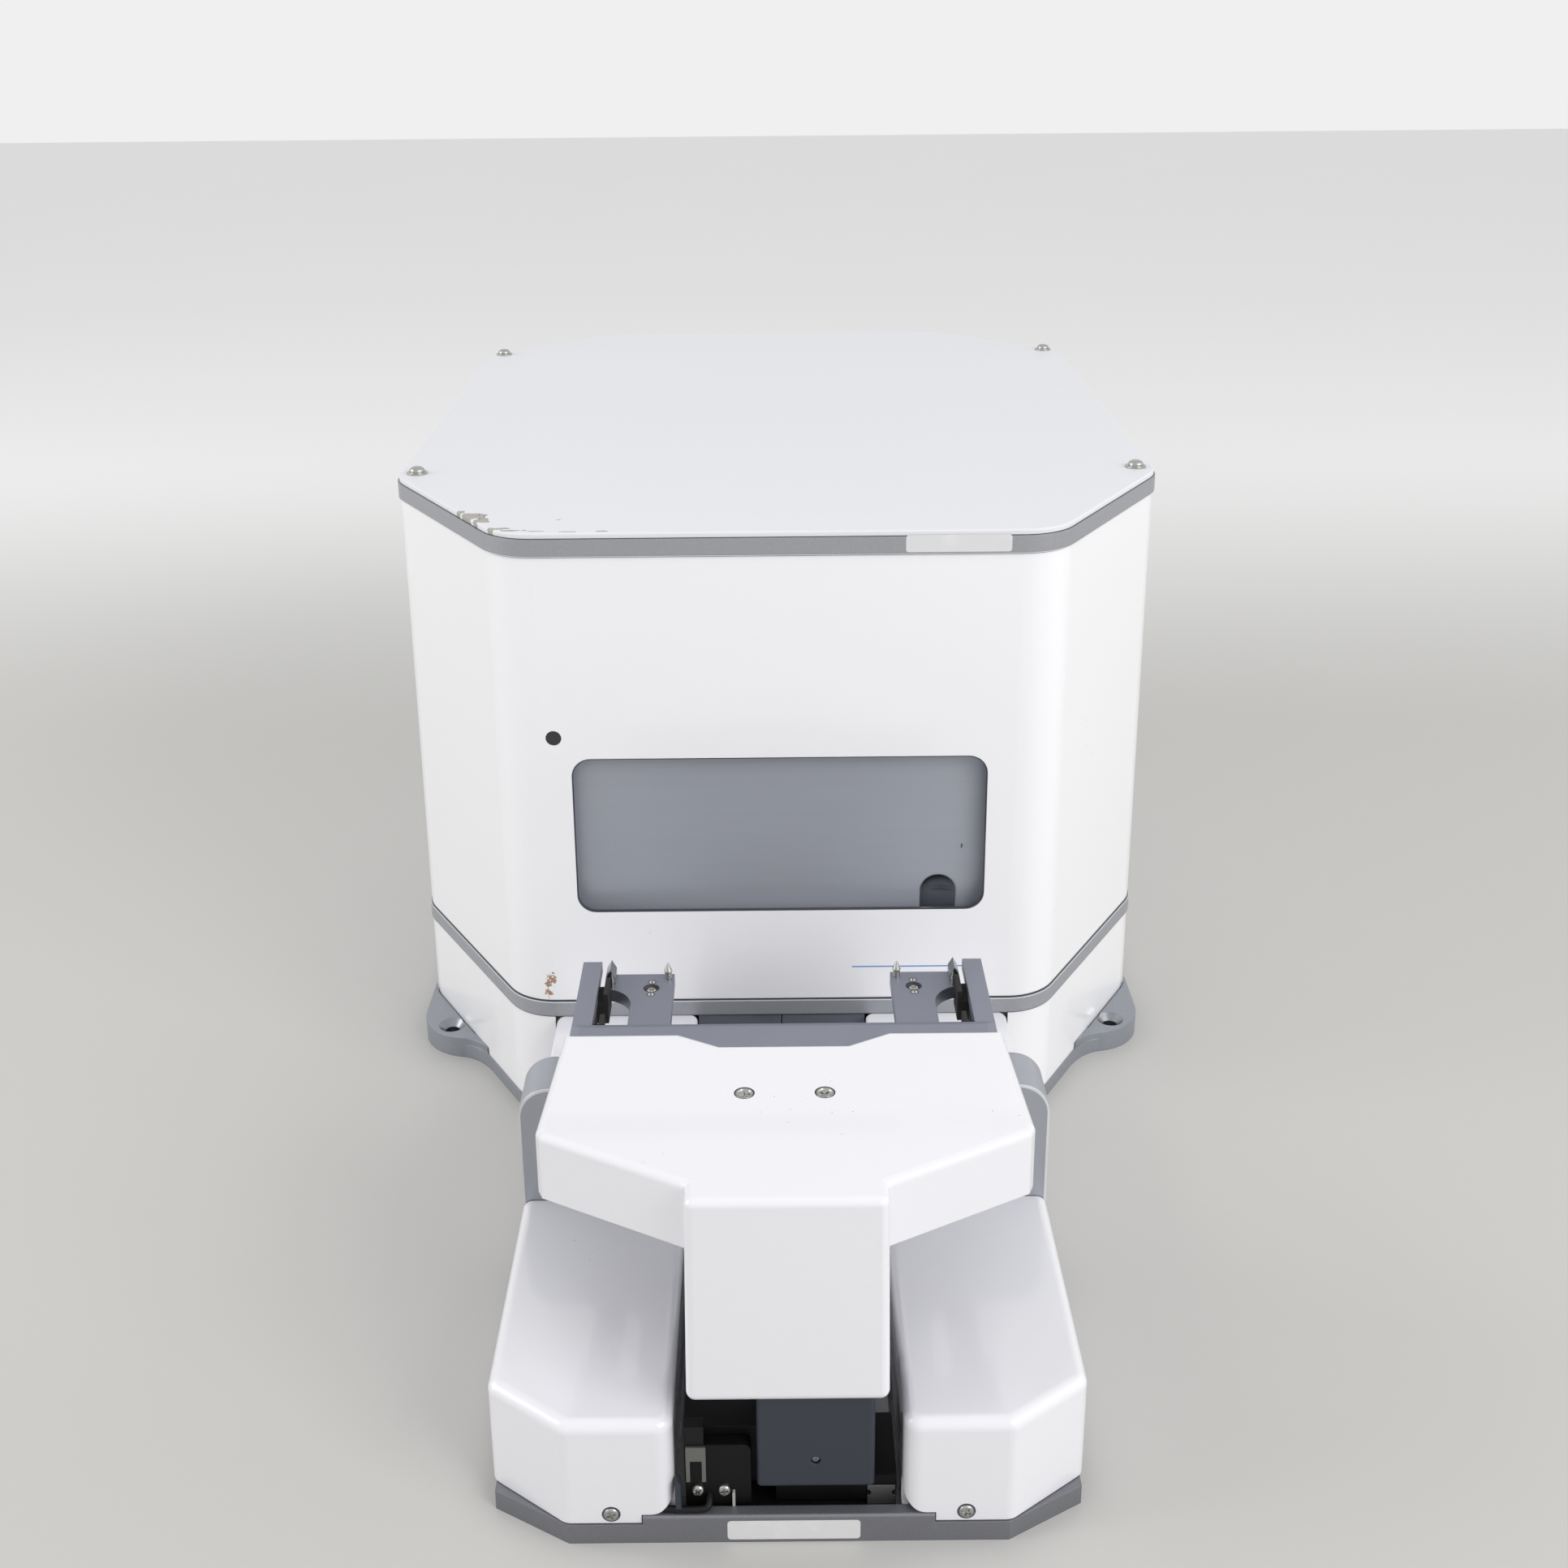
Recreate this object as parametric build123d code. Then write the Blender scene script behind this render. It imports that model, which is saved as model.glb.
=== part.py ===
from build123d import *
import math
import os

# Microplate centrifuge with an automatic plate loader docked to its front.
# Frame: origin where the rotor axis meets the bench, +Z up, +X right, +Y to the back.
# All sizes are in millimetres.

# --- Clearances -----------------------------------------------------------
seat_gap = 0.3
running_gap = 0.05
slide_gap = 0.3

# --- Centrifuge body ------------------------------------------------------
body_width = 340.0
body_depth = 462.0
axis_front_margin = 6.0
front_face_from_window = 25.9
front_chamfer_y = 96.0
rear_chamfer_x = 65.4
rear_chamfer_y = 71.5
corner_radius = 25.0

base_thickness = 6.8
lower_shell_height = 43.5
band_height = 6.8
upper_casing_height = 202.0
rim_height = 7.0
top_plate_thickness = 2.4
shell_inset = 1.0
band_inset = 0.4
shell_wall = 2.0
band_wall = 5.0
rim_wall = 17.0
top_plate_inset = 0.8
top_edge_round = 0.8

ear_thickness = 10.0
ear_hole_inset = 14.0
ear_hole_from_front = 61.5
ear_hole_from_back = 47.0
ear_nose_reach = 12.5
ear_nose_radius = 24.0
ear_root_length = 40.0
ear_neck = 20.0
ear_blend_radius = 12.0
anchor_hole_radius = 3.3
anchor_sink_radius = 6.3

top_screw_inset = 8.8
top_screw_from_front = 101.7
top_screw_from_back = 67.3
top_screw_head_radius = 3.4
top_screw_head_height = 2.4
top_washer_radius = 4.6
top_washer_thickness = 0.8
screw_shank_radius = 2.0
screw_shank_length = 7.0

# --- Loading window and door ----------------------------------------------
window_half_width = 86.6
window_bottom = 100.2
window_height = 71.0
window_radius = 8.0
door_thickness = 4.0
door_recess = 5.8
door_overlap = 5.4
door_top_overlap = 9.0
door_travel = 76.0
door_slot_x = 67.6
door_slot_width = 16.4
door_slot_height = 13.0
door_slot_depth = 2.4
guide_lip = 1.5
guide_depth = 2.2
guide_back = 1.0
guide_web = 5.5
door_frame_thickness = 3.0
door_frame_margin = 24.0
lamp_from_window = 6.8
lamp_z = 180.6
lamp_radius = 3.25
lamp_flange_radius = 4.6
lamp_flange_thickness = 1.2
cylinder_x = -99.0
cylinder_width = 15.0
cylinder_bottom = 82.0
cylinder_length = 90.0
door_rod_radius = 3.0
arm_height = 8.0
arm_x = -76.0
arm_width = 9.0

# --- Spin chamber and drive -----------------------------------------------
chamber_side_gap = 16.0
armour_thickness = 4.0
chamber_floor_z = 76.0
chamber_floor_thickness = 5.0
armour_height = 129.0
chamber_lid_thickness = 4.0
post_radius = 9.0
post_inset = 20.0
motor_radius = 46.0
motor_height = 58.0
motor_wall = 30.0
motor_fins = 24
fin_slot_depth = 4.0
fin_slot_width = 4.0
fin_end_margin = 8.0
bearing_height = 10.0
shaft_radius = 8.0

# --- Rotor and buckets ----------------------------------------------------
trunnion_radius_at = 72.0
trunnion_z = 140.0
trunnion_pin_radius = 4.0
trunnion_head_radius = 6.0
trunnion_head_thickness = 2.0
yoke_bar_inner = 82.3
yoke_bar_width = 6.0
yoke_bar_height = 18.0
yoke_bar_overhang = 12.0
yoke_bridge_width = 28.0
yoke_bridge_height = 12.0
hub_radius = 20.0
hub_height = 24.0
knob_radius = 14.0
knob_height = 9.0
knob_scallops = 8
scallop_radius = 3.0
scallop_offset = 1.0
bucket_half_length = 68.4
bucket_half_depth = 47.5
bucket_rib_depth = 8.0
bucket_rib_width = 8.0
bucket_floor_z = 104.5
bucket_floor_thickness = 3.5
bucket_ear_inner = 78.5
bucket_ear_thickness = 3.0
bucket_ear_half_width = 16.0
bucket_ear_radius = 10.0
plate_seat_z = 117.5
seat_half_width = 34.0
seat_wall = 3.0
ledge_depth = 24.0
bucket_wall = 2.0
bucket_wall_height = 13.0
plate_length = 127.76
plate_width = 85.48

# --- Rear connections -----------------------------------------------------
inlet_x = 62.0
inlet_width = 28.0
inlet_height = 21.0
inlet_flange = 3.0
inlet_depth = 22.0
inlet_wall = 3.0
inlet_blade_pitch = 7.0
inlet_blade_rise = 4.0
inlet_blade_half = 2.0
connector_z = 29.0
switch_x = 28.0
switch_width = 14.0
switch_height = 20.0
switch_depth = 16.0
rocker_pivot_radius = 1.2
rocker_pivot_length = 0.9
rocker_rest_tilt = 6.0
serial_x = -10.0
serial_width = 31.0
serial_height = 12.5
air_fitting_x = -62.0
air_fitting_pitch = 20.0
air_fitting_radius = 6.0
fitting_step = 1.5
fitting_tail = 8.0
fitting_collar = 5.0
fitting_reach = 9.0
fitting_bore_radius = 2.0
electronics_gap = 12.0
supply_size_x = 96.0
supply_size_y = 58.0
supply_size_z = 40.0
board_size_x = 90.0
board_size_y = 60.0
board_thickness = 1.6
board_edge = 5.0
chip_width = 16.0
chip_length = 16.0
chip_height = 3.0
standoff_height = 8.0
standoff_radius = 3.0

# --- Loader housing -------------------------------------------------------
loader_length = 241.0
loader_half_width = 96.2
loader_front_half_width = 70.7
loader_chamfer_y = 15.0
loader_base_thickness = 7.3
loader_lip_height = 3.2
loader_lip_depth = 5.0
loader_lip_half_width = 46.8
dock_gap = 0.5
cover_half_width = 97.5
channel_half_width = 36.5
side_cover_height = 39.2
side_cover_front_inset = 0.6
side_cover_chamfer_x = 26.0
side_cover_chamfer_y = 19.5
cover_wall = 2.2
cover_round = 4.0
cover_notch_height = 3.2
side_cover_screw_x = 56.8
side_cover_screw_z = 11.2
side_screw_head_radius = 2.5
cover_foot_round = 8.0
cover_foot_depth = 8.0
bulkhead_front_at = 125.0
bulkhead_depth = 22.0
bulkhead_height = 94.2
bulkhead_radius = 12.0
bulkhead_overhang = 1.0
bulkhead_edge = 0.7
rear_cover_top_gap = 0.35
rear_cover_tuck = 1.3
rear_cover_round = 5.0
rear_cover_edge = 1.2
dock_opening_clearance = 1.2
dock_panel_thickness = 3.0
dock_panel_setback = 0.4
dock_panel_seam = 0.5

# --- Loader drive ---------------------------------------------------------
rail_x = 30.0
rail_width = 9.0
rail_height = 7.5
rail_end_gap = 3.0
carriage_travel = 194.0
column_left = -10.1
column_right = 27.6
column_front_at = 237.0
column_depth = 32.0
column_edge_round = 1.5
column_hole_height = 9.8
column_hole_depth = 8.0
column_hole_radius = 1.5
column_bottom = 18.9
column_top = 113.5
carriage_block_height = 9.6
tube_x = -22.5
tube_z = 26.0
tube_radius = 7.0
end_block_width = 21.0
end_block_depth = 4.5
end_block_height = 26.5
shuttle_length = 20.0
shuttle_height = 22.0
shuttle_width = 22.0
lift_rail_width = 12.0
lift_rail_depth = 3.0
end_screw_x = -29.1
end_screw_pitch = 8.5
end_screw_z = 16.6
end_screw_radius = 2.1
end_screw_head = 1.8
sensor_width = 6.0
sensor_height = 7.0

# --- Gripper head ---------------------------------------------------------
head_top = 128.0
head_cover_skin = 2.4
head_rear_room = 12.0
head_wall = 1.8
head_skirt = 23.6
head_top_round = 2.6
head_nose_round = 3.0
head_foot_round = 3.0
head_front_at = 239.0
head_nose_half_width = 31.1
head_nose_height = 74.0
head_nose_draft = 0.7
head_inner_front_x = 32.5
head_inner_front_at = 229.0
head_outer_front_x = 78.4
head_outer_front_at = 203.8
head_wide_x = 80.0
head_wide_at = 200.0
head_rear_x = 76.5
head_rear_at = 142.5
head_notch_depth = 8.0
head_notch_inner_x = 22.0
head_notch_outer_x = 36.5
head_screw_x = 13.3
head_screw_from_edge = 19.3
head_screw_head_radius = 3.2
head_screw_sink = 1.0
head_screw_dish = 2.3
frame_thickness = 4.2
frame_top_gap = 0.2
frame_rear_at = 133.0
frame_column_gap = 5.0
frame_side_lap = 14.0
crossbar_rise = 1.0
crossbar_bevel = 3.0
arm_web_thickness = 3.0
arm_web_lap = 12.0
gripper_rail_outer = 75.0
gripper_rail_inner = 67.9
gripper_rail_wall = 3.4
gripper_rail_drop = 12.9
gripper_rail_tip_at = 87.4
fork_top = 119.5
fork_thickness = 5.0
fork_tip_at = 86.5
fork_inner_x = 40.8
fork_outer_x = 56.2
fork_wing_x = 64.8
fork_wing_at = 97.5
fork_arc_end_at = 111.0
fork_root_at = 172.0
fork_screw_x = 49.0
fork_screw_at = 97.0
fork_bore_radius = 3.0
fork_dowel_radius = 0.9
fork_dowel_pitch = 9.0
fork_pin_x = 43.0
fork_pin_at = 90.0
fork_pin_radius = 1.6
fork_pin_height = 6.6
fork_pin_cone = 3.2
pin_neck = 0.25
pin_edge_gap = 0.2
blade_thickness = 3.6
blade_overhang = 1.4
blade_length = 8.0
blade_height = 6.2
blade_shoulder = 3.0
small_pin_radius = 0.95
small_pin_height = 5.6
small_pin_cone = 3.0
finger_pad_x = 64.0
finger_bar_x = 68.2
finger_bar_width = 1.4
finger_height = 8.0
finger_travel = 1.8
finger_tip_at = 98.1
finger_first_pad = 12.7
finger_second_at = 124.5
finger_pad_rise = 4.0
finger_pad_thickness = 1.7
finger_second_pad = 7.0
finger_arm_at = 152.0
finger_arm_width = 7.0
finger_arm_height = 4.2
grip_cylinder_half_length = 22.0
grip_cylinder_width = 22.0
grip_cylinder_height = 14.0
grip_rod_radius = 1.5
grip_rod_reach = 12.0
lift_up = 6.5
lift_down = 3.5

# --- Levels and planes worked out from the sizes above ---------------------
axis_to_front = body_width / 2 + axis_front_margin
front_face_half = window_half_width + front_face_from_window
front_chamfer_x = body_width / 2 - front_face_half
ear_hole_x = body_width / 2 - ear_hole_inset
top_screw_x = body_width / 2 - top_screw_inset
lamp_x = -window_half_width - lamp_from_window
chamber_radius = body_width / 2 - chamber_side_gap
chamber_outer = chamber_radius + armour_thickness
post_circle = chamber_outer - post_inset
frame_depth_at = column_front_at - column_depth - frame_column_gap
head_screw_at = frame_depth_at - head_screw_from_edge
front_y = -axis_to_front
rear_y = front_y + body_depth
lower_shell_top = base_thickness + lower_shell_height
band_top = lower_shell_top + band_height
casing_top = band_top + upper_casing_height
rim_top = casing_top + rim_height
body_top = rim_top + top_plate_thickness
casing_face_y = front_y + shell_inset
casing_back_y = casing_face_y + shell_wall
window_top = window_bottom + window_height
door_front_y = casing_back_y + door_recess
door_back_y = door_front_y + door_thickness
frame_face_y = door_back_y + slide_gap + guide_back
frame_back_y = frame_face_y + door_frame_thickness
armour_top = chamber_floor_z + armour_height
frame_top = head_top - head_cover_skin - frame_top_gap
frame_bottom = frame_top - frame_thickness
finger_top = frame_bottom - slide_gap
loader_deck_z = loader_base_thickness


def block(x_span, y_span, z_span):
    """Box between two corners given as (low, high) spans."""
    size = [high - low for low, high in (x_span, y_span, z_span)]
    middle = [(high + low) / 2 for low, high in (x_span, y_span, z_span)]
    return Pos(*middle) * Box(*size)


def mirrored_span(inner, outer, side):
    """X span between two distances from the centre plane, on one side."""
    return tuple(sorted((side * inner, side * outer)))


def rod(radius, z_low, z_high, x=0.0, y=0.0):
    """Upright cylinder."""
    return Pos(x, y, (z_low + z_high) / 2) * Cylinder(radius, z_high - z_low)


def rod_along_y(radius, y_low, y_high, x=0.0, z=0.0):
    """Cylinder lying along Y."""
    return Pos(x, (y_low + y_high) / 2, z) * Rot(90, 0, 0) * Cylinder(radius, y_high - y_low)


def rod_along_x(radius, x_low, x_high, y=0.0, z=0.0):
    """Cylinder lying along X."""
    return Pos((x_low + x_high) / 2, y, z) * Rot(0, 90, 0) * Cylinder(radius, x_high - x_low)


def prism(sketch, z_low, z_high):
    """Extrude a sketch in the XY plane between two levels."""
    return Pos(0, 0, z_low) * extrude(sketch, amount=z_high - z_low)


def outline(points):
    """Closed straight-sided face through the given XY points."""
    return make_face(Polyline(*points, close=True))


def flip_x(shape):
    return mirror(shape, about=Plane.YZ)


def loader_y(distance_from_casing):
    """Y of a place on the loader, measured forwards from the casing's front."""
    return front_y - distance_from_casing


def body_outline(inset=0.0):
    """Eight-sided plan of the centrifuge body with rounded corners."""
    half = body_width / 2
    points = [
        (-half + front_chamfer_x, front_y),
        (half - front_chamfer_x, front_y),
        (half, front_y + front_chamfer_y),
        (half, rear_y - rear_chamfer_y),
        (half - rear_chamfer_x, rear_y),
        (-half + rear_chamfer_x, rear_y),
        (-half, rear_y - rear_chamfer_y),
        (-half, front_y + front_chamfer_y),
    ]
    face = outline(points)
    rounded = fillet(face.vertices(), corner_radius)
    return offset(rounded, amount=-inset) if inset else rounded


def body_ring(z_low, z_high, inset, wall):
    """Open-ended wall that follows the body's plan."""
    return prism(body_outline(inset) - body_outline(inset + wall), z_low, z_high)


# --- Centrifuge body --------------------------------------------------------

def ear_holes():
    """XY of the four anchor holes."""
    return [
        (side * ear_hole_x, y)
        for side in (-1, 1)
        for y in (front_y + ear_hole_from_front, rear_y - ear_hole_from_back)
    ]


def ear_outline(x, y):
    """Plan of one anchor ear: straight outer side, round nose and a neck that sweeps into the body."""
    side = math.copysign(1, x)
    inward = 1 if y > 0 else -1
    half = body_width / 2
    nose_y = y + inward * ear_nose_reach
    root_y = y - inward * ear_root_length
    neck_x = abs(x) - ear_neck
    foot_x = neck_x - ear_blend_radius
    foot_y = nose_y + inward * ear_blend_radius
    points = [
        (side * half, root_y),
        (side * half, nose_y),
        (side * neck_x, nose_y),
        (side * foot_x, foot_y),
        (side * foot_x, root_y),
    ]
    face = outline(points)
    nose = face.vertices().sort_by_distance((side * half, nose_y, 0))[0]
    face = fillet(nose, ear_nose_radius)
    neck = face.vertices().sort_by_distance((side * neck_x, nose_y, 0))[0]
    return fillet(neck, ear_blend_radius)


def make_base_plate():
    plan = body_outline(shell_inset / 2)
    plate = prism(plan, 0, base_thickness)
    for x, y in ear_holes():
        ear = ear_outline(x, y)
        plate += prism(ear, 0, base_thickness)
        plate += prism(ear - offset(plan, amount=seat_gap), base_thickness, ear_thickness)
    for x, y in ear_holes():
        plate -= rod(anchor_hole_radius, -1, ear_thickness + 1, x, y)
        sink = anchor_sink_radius - anchor_hole_radius
        cone = Cone(anchor_hole_radius, anchor_sink_radius, sink)
        plate -= Pos(x, y, ear_thickness - sink / 2) * cone
    for peg in board_standoffs():
        plate += peg
    return plate


def connector_cutouts():
    """Openings in the rear wall for the connectors."""
    y_span = (rear_y - shell_inset - shell_wall - 1, rear_y + 1)
    cut = block(
        (inlet_x - inlet_width / 2, inlet_x + inlet_width / 2),
        y_span,
        (connector_z - inlet_height / 2, connector_z + inlet_height / 2),
    )
    cut += block(
        (switch_x - switch_width / 2, switch_x + switch_width / 2),
        y_span,
        (connector_z - switch_height / 2, connector_z + switch_height / 2),
    )
    cut += block(
        (serial_x - serial_width / 2, serial_x + serial_width / 2),
        y_span,
        (connector_z - serial_height / 2, connector_z + serial_height / 2),
    )
    for x in air_fitting_places():
        cut += rod_along_y(air_fitting_radius - 1.5, *y_span, x, connector_z)
    return cut


def make_lower_shell():
    shell = body_ring(base_thickness, lower_shell_top, shell_inset, shell_wall)
    half = cover_half_width + dock_opening_clearance
    shell -= block((-half, half), (front_y - 1, casing_back_y + 1), (0, lower_shell_top + 1))
    return shell - connector_cutouts()


def make_trim_band():
    return body_ring(lower_shell_top, band_top, band_inset, band_wall)


def window_cutter(y_low, y_high, margin=0.0):
    """Rounded rectangular hole through the front, along Y."""
    width = 2 * (window_half_width + margin)
    height = window_height + 2 * margin
    hole = RectangleRounded(width, height, window_radius + margin)
    middle = Pos(0, y_high, (window_bottom + window_top) / 2)
    return middle * Rot(90, 0, 0) * extrude(hole, amount=y_high - y_low)


def make_upper_casing():
    shell = body_ring(band_top, casing_top, shell_inset, shell_wall)
    shell -= window_cutter(front_y - 1, casing_back_y + 1)
    return shell - rod_along_y(lamp_radius, front_y - 1, casing_back_y + 1, lamp_x, lamp_z)


def top_screw_places():
    return [
        (side * top_screw_x, y)
        for side in (-1, 1)
        for y in (front_y + top_screw_from_front, rear_y - top_screw_from_back)
    ]


def drill_top_screws(shape):
    """Clearance holes for the cover screws."""
    for x, y in top_screw_places():
        shape -= rod(screw_shank_radius + running_gap, casing_top - 1, body_top + 1, x, y)
    return shape


def make_top_rim():
    return drill_top_screws(body_ring(casing_top, rim_top, 0, rim_wall))


def make_top_plate():
    plate = prism(body_outline(top_plate_inset), rim_top, body_top)
    upper = plate.edges().group_by(Axis.Z)[-1]
    return drill_top_screws(fillet(upper, top_edge_round))


def dome_screw(x, y, seat_z):
    """Washer, dome head and shank of one cover screw, as one turned piece."""
    washer_top = seat_z + top_washer_thickness
    screw = rod(top_washer_radius, seat_z, washer_top, x, y)
    head = rod(top_screw_head_radius, washer_top, washer_top + top_screw_head_height, x, y)
    head = fillet(head.edges().group_by(Axis.Z)[-1], top_screw_head_height * 0.8)
    shank = rod(screw_shank_radius, seat_z - screw_shank_length, seat_z, x, y)
    return screw + head + shank


def make_top_screws():
    return Compound([dome_screw(x, y, body_top) for x, y in top_screw_places()])


# --- Door --------------------------------------------------------------------

door_half_width = window_half_width + door_overlap
door_bottom = window_bottom - door_overlap
door_top = window_top + door_top_overlap
frame_half_width = window_half_width + door_frame_margin
frame_z_top = door_top + door_travel + 2
cylinder_y = frame_back_y + cylinder_width / 2
arm_z = cylinder_bottom + cylinder_length + 2


def make_door():
    """Sliding door with a finger groove, cut as if by a ball-nosed cutter, at its lower right."""
    door = block(
        (-door_half_width, door_half_width),
        (door_front_y, door_back_y),
        (door_bottom, door_top),
    )
    half = door_slot_width / 2
    cutter_radius = (half**2 + door_slot_depth**2) / (2 * door_slot_depth)
    cutter_y = door_front_y + door_slot_depth - cutter_radius
    end_z = window_bottom + door_slot_height - half
    door -= rod(cutter_radius, door_bottom - 1, end_z, door_slot_x, cutter_y)
    return door - Pos(door_slot_x, cutter_y, end_z) * Sphere(cutter_radius)


def make_door_guides():
    """Two upright channels that hold the door's edges."""
    guides = []
    for side in (-1, 1):
        outer = door_half_width + slide_gap + guide_web
        inner = door_half_width - guide_depth
        y_low = door_front_y - slide_gap - guide_lip
        channel = block(
            mirrored_span(inner, outer, side), (y_low, frame_face_y), (door_bottom, frame_z_top)
        )
        channel -= block(
            mirrored_span(inner - 1, door_half_width + slide_gap, side),
            (door_front_y - slide_gap, door_back_y + slide_gap),
            (door_bottom - 1, frame_z_top + 1),
        )
        guides.append(channel)
    return Compound(guides)


def make_door_frame():
    """Front bulkhead behind the door, standing on the base plate."""
    plate = block(
        (-frame_half_width, frame_half_width),
        (frame_face_y, frame_back_y),
        (base_thickness, frame_z_top),
    )
    plate -= window_cutter(frame_face_y - 1, frame_back_y + 1)
    slot_x = (arm_x - arm_width / 2 - 1, arm_x + arm_width / 2 + 1)
    plate -= block(slot_x, (frame_face_y - 1, frame_back_y + 1), (arm_z - 1, frame_z_top + 1))
    lower_half = channel_half_width + cover_wall
    dock_z = (base_thickness - 1, lower_shell_top)
    plate -= block((-lower_half, lower_half), (frame_face_y - 1, frame_back_y + 1), dock_z)
    return plate


def make_door_arm():
    """Arm from the door's back, through the frame, with the cylinder's rod in one piece."""
    z_span = (arm_z, arm_z + arm_height)
    arm = block(
        (arm_x - arm_width / 2, arm_x + arm_width / 2),
        (door_back_y, cylinder_y + door_rod_radius),
        z_span,
    )
    arm += block(
        (cylinder_x - cylinder_width / 2, arm_x + arm_width / 2),
        (frame_back_y + seat_gap, cylinder_y + door_rod_radius + 2),
        z_span,
    )
    return arm + rod(door_rod_radius, cylinder_bottom + 6, arm_z, cylinder_x, cylinder_y)


def make_door_cylinder():
    body = block(
        (cylinder_x - cylinder_width / 2, cylinder_x + cylinder_width / 2),
        (frame_back_y, frame_back_y + cylinder_width),
        (cylinder_bottom, cylinder_bottom + cylinder_length),
    )
    bore_low = cylinder_bottom + 3
    bore_high = cylinder_bottom + cylinder_length + 1
    return body - rod(door_rod_radius + running_gap, bore_low, bore_high, cylinder_x, cylinder_y)


def make_status_lamp():
    face = casing_face_y + 0.4
    lens = rod_along_y(lamp_radius - running_gap, face, casing_back_y, lamp_x, lamp_z)
    flange_back = casing_back_y + lamp_flange_thickness
    return lens + rod_along_y(lamp_flange_radius, casing_back_y, flange_back, lamp_x, lamp_z)


# --- Spin chamber and drive ---------------------------------------------------

def make_chamber_floor():
    floor = rod(chamber_outer, chamber_floor_z - chamber_floor_thickness, chamber_floor_z)
    return floor - rod(shaft_radius + 2, 0, chamber_floor_z + 1)


def make_armour_ring():
    """Steel guard ring, open at the front where plates pass."""
    ring = rod(chamber_outer, chamber_floor_z, armour_top)
    ring -= rod(chamber_radius, chamber_floor_z - 1, armour_top + 1)
    return ring - window_cutter(-chamber_outer - 1, -chamber_radius / 2)


def make_chamber_lid():
    return rod(chamber_outer, armour_top, armour_top + chamber_lid_thickness)


def make_chamber_posts():
    top = chamber_floor_z - chamber_floor_thickness
    posts = []
    for turn in range(4):
        angle = math.radians(45 + 90 * turn)
        x = post_circle * math.cos(angle)
        y = post_circle * math.sin(angle)
        posts.append(rod(post_radius, base_thickness, top, x, y))
    return Compound(posts)


motor_top = chamber_floor_z - chamber_floor_thickness
motor_bottom = motor_top - motor_height
motor_bore = motor_radius - motor_wall


def make_motor_housing():
    """Drive motor hung under the chamber floor, with cooling fins round it."""
    body = rod(motor_radius, motor_bottom, motor_top)
    slot = block(
        (motor_radius - fin_slot_depth, motor_radius + 1),
        (-fin_slot_width / 2, fin_slot_width / 2),
        (motor_bottom + fin_end_margin, motor_top - fin_end_margin),
    )
    for fin in range(motor_fins):
        body -= Rot(0, 0, 360 * fin / motor_fins) * slot
    return body - rod(motor_bore, motor_bottom + 4, motor_top + 1)


def make_motor_bearings():
    rings = []
    for z_low in (motor_bottom + 4, motor_top - bearing_height):
        ring = rod(motor_bore, z_low, z_low + bearing_height)
        rings.append(ring - rod(shaft_radius + running_gap, z_low - 1, z_low + bearing_height + 1))
    return Compound(rings)


# --- Rotor ---------------------------------------------------------------------

hub_bottom = trunnion_z - hub_height / 2
hub_top = trunnion_z + hub_height / 2


def make_drive_shaft():
    return rod(shaft_radius, motor_bottom + 6, hub_top + knob_height / 2)


def make_rotor_yoke():
    """Hub, bridge and two side bars with a trunnion bore at each end."""
    bar_outer = yoke_bar_inner + yoke_bar_width
    bar_reach = trunnion_radius_at + yoke_bar_overhang
    yoke = rod(hub_radius, hub_bottom, hub_top)
    yoke += block(
        (-bar_outer, bar_outer),
        (-yoke_bridge_width / 2, yoke_bridge_width / 2),
        (trunnion_z - yoke_bridge_height / 2, trunnion_z + yoke_bridge_height / 2),
    )
    for side in (-1, 1):
        bar = block(
            mirrored_span(yoke_bar_inner, bar_outer, side),
            (-bar_reach, bar_reach),
            (trunnion_z - yoke_bar_height / 2, trunnion_z + yoke_bar_height / 2),
        )
        bar = fillet(bar.edges().filter_by(Axis.X), yoke_bar_height / 2 - 1)
        yoke += bar
    yoke -= rod(shaft_radius, hub_bottom - 1, hub_top + 1)
    for end in (-1, 1):
        y = end * trunnion_radius_at
        yoke -= rod_along_x(trunnion_pin_radius, -bar_outer - 1, bar_outer + 1, y, trunnion_z)
    return yoke


def make_rotor_knob():
    """Clamp knob on top of the hub, scalloped for grip."""
    knob = rod(knob_radius, hub_top, hub_top + knob_height)
    reach = knob_radius + scallop_offset
    for index in range(knob_scallops):
        angle = math.radians(360 * index / knob_scallops)
        x = reach * math.cos(angle)
        y = reach * math.sin(angle)
        knob -= rod(scallop_radius, hub_top - 1, hub_top + knob_height + 1, x, y)
    return knob - rod(shaft_radius, hub_top - 1, hub_top + knob_height / 2)


def make_trunnion_pins():
    """Four shouldered pins, pressed into the yoke bars from inside."""
    pins = []
    bar_outer = yoke_bar_inner + yoke_bar_width
    head_outer = bucket_ear_inner - seat_gap
    head_inner = head_outer - trunnion_head_thickness
    for side in (-1, 1):
        for end in (-1, 1):
            y = end * trunnion_radius_at
            shank = mirrored_span(head_inner, bar_outer, side)
            head = mirrored_span(head_inner, head_outer, side)
            pin = rod_along_x(trunnion_pin_radius, *shank, y, trunnion_z)
            pins.append(pin + rod_along_x(trunnion_head_radius, *head, y, trunnion_z))
    return Compound(pins)


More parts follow.
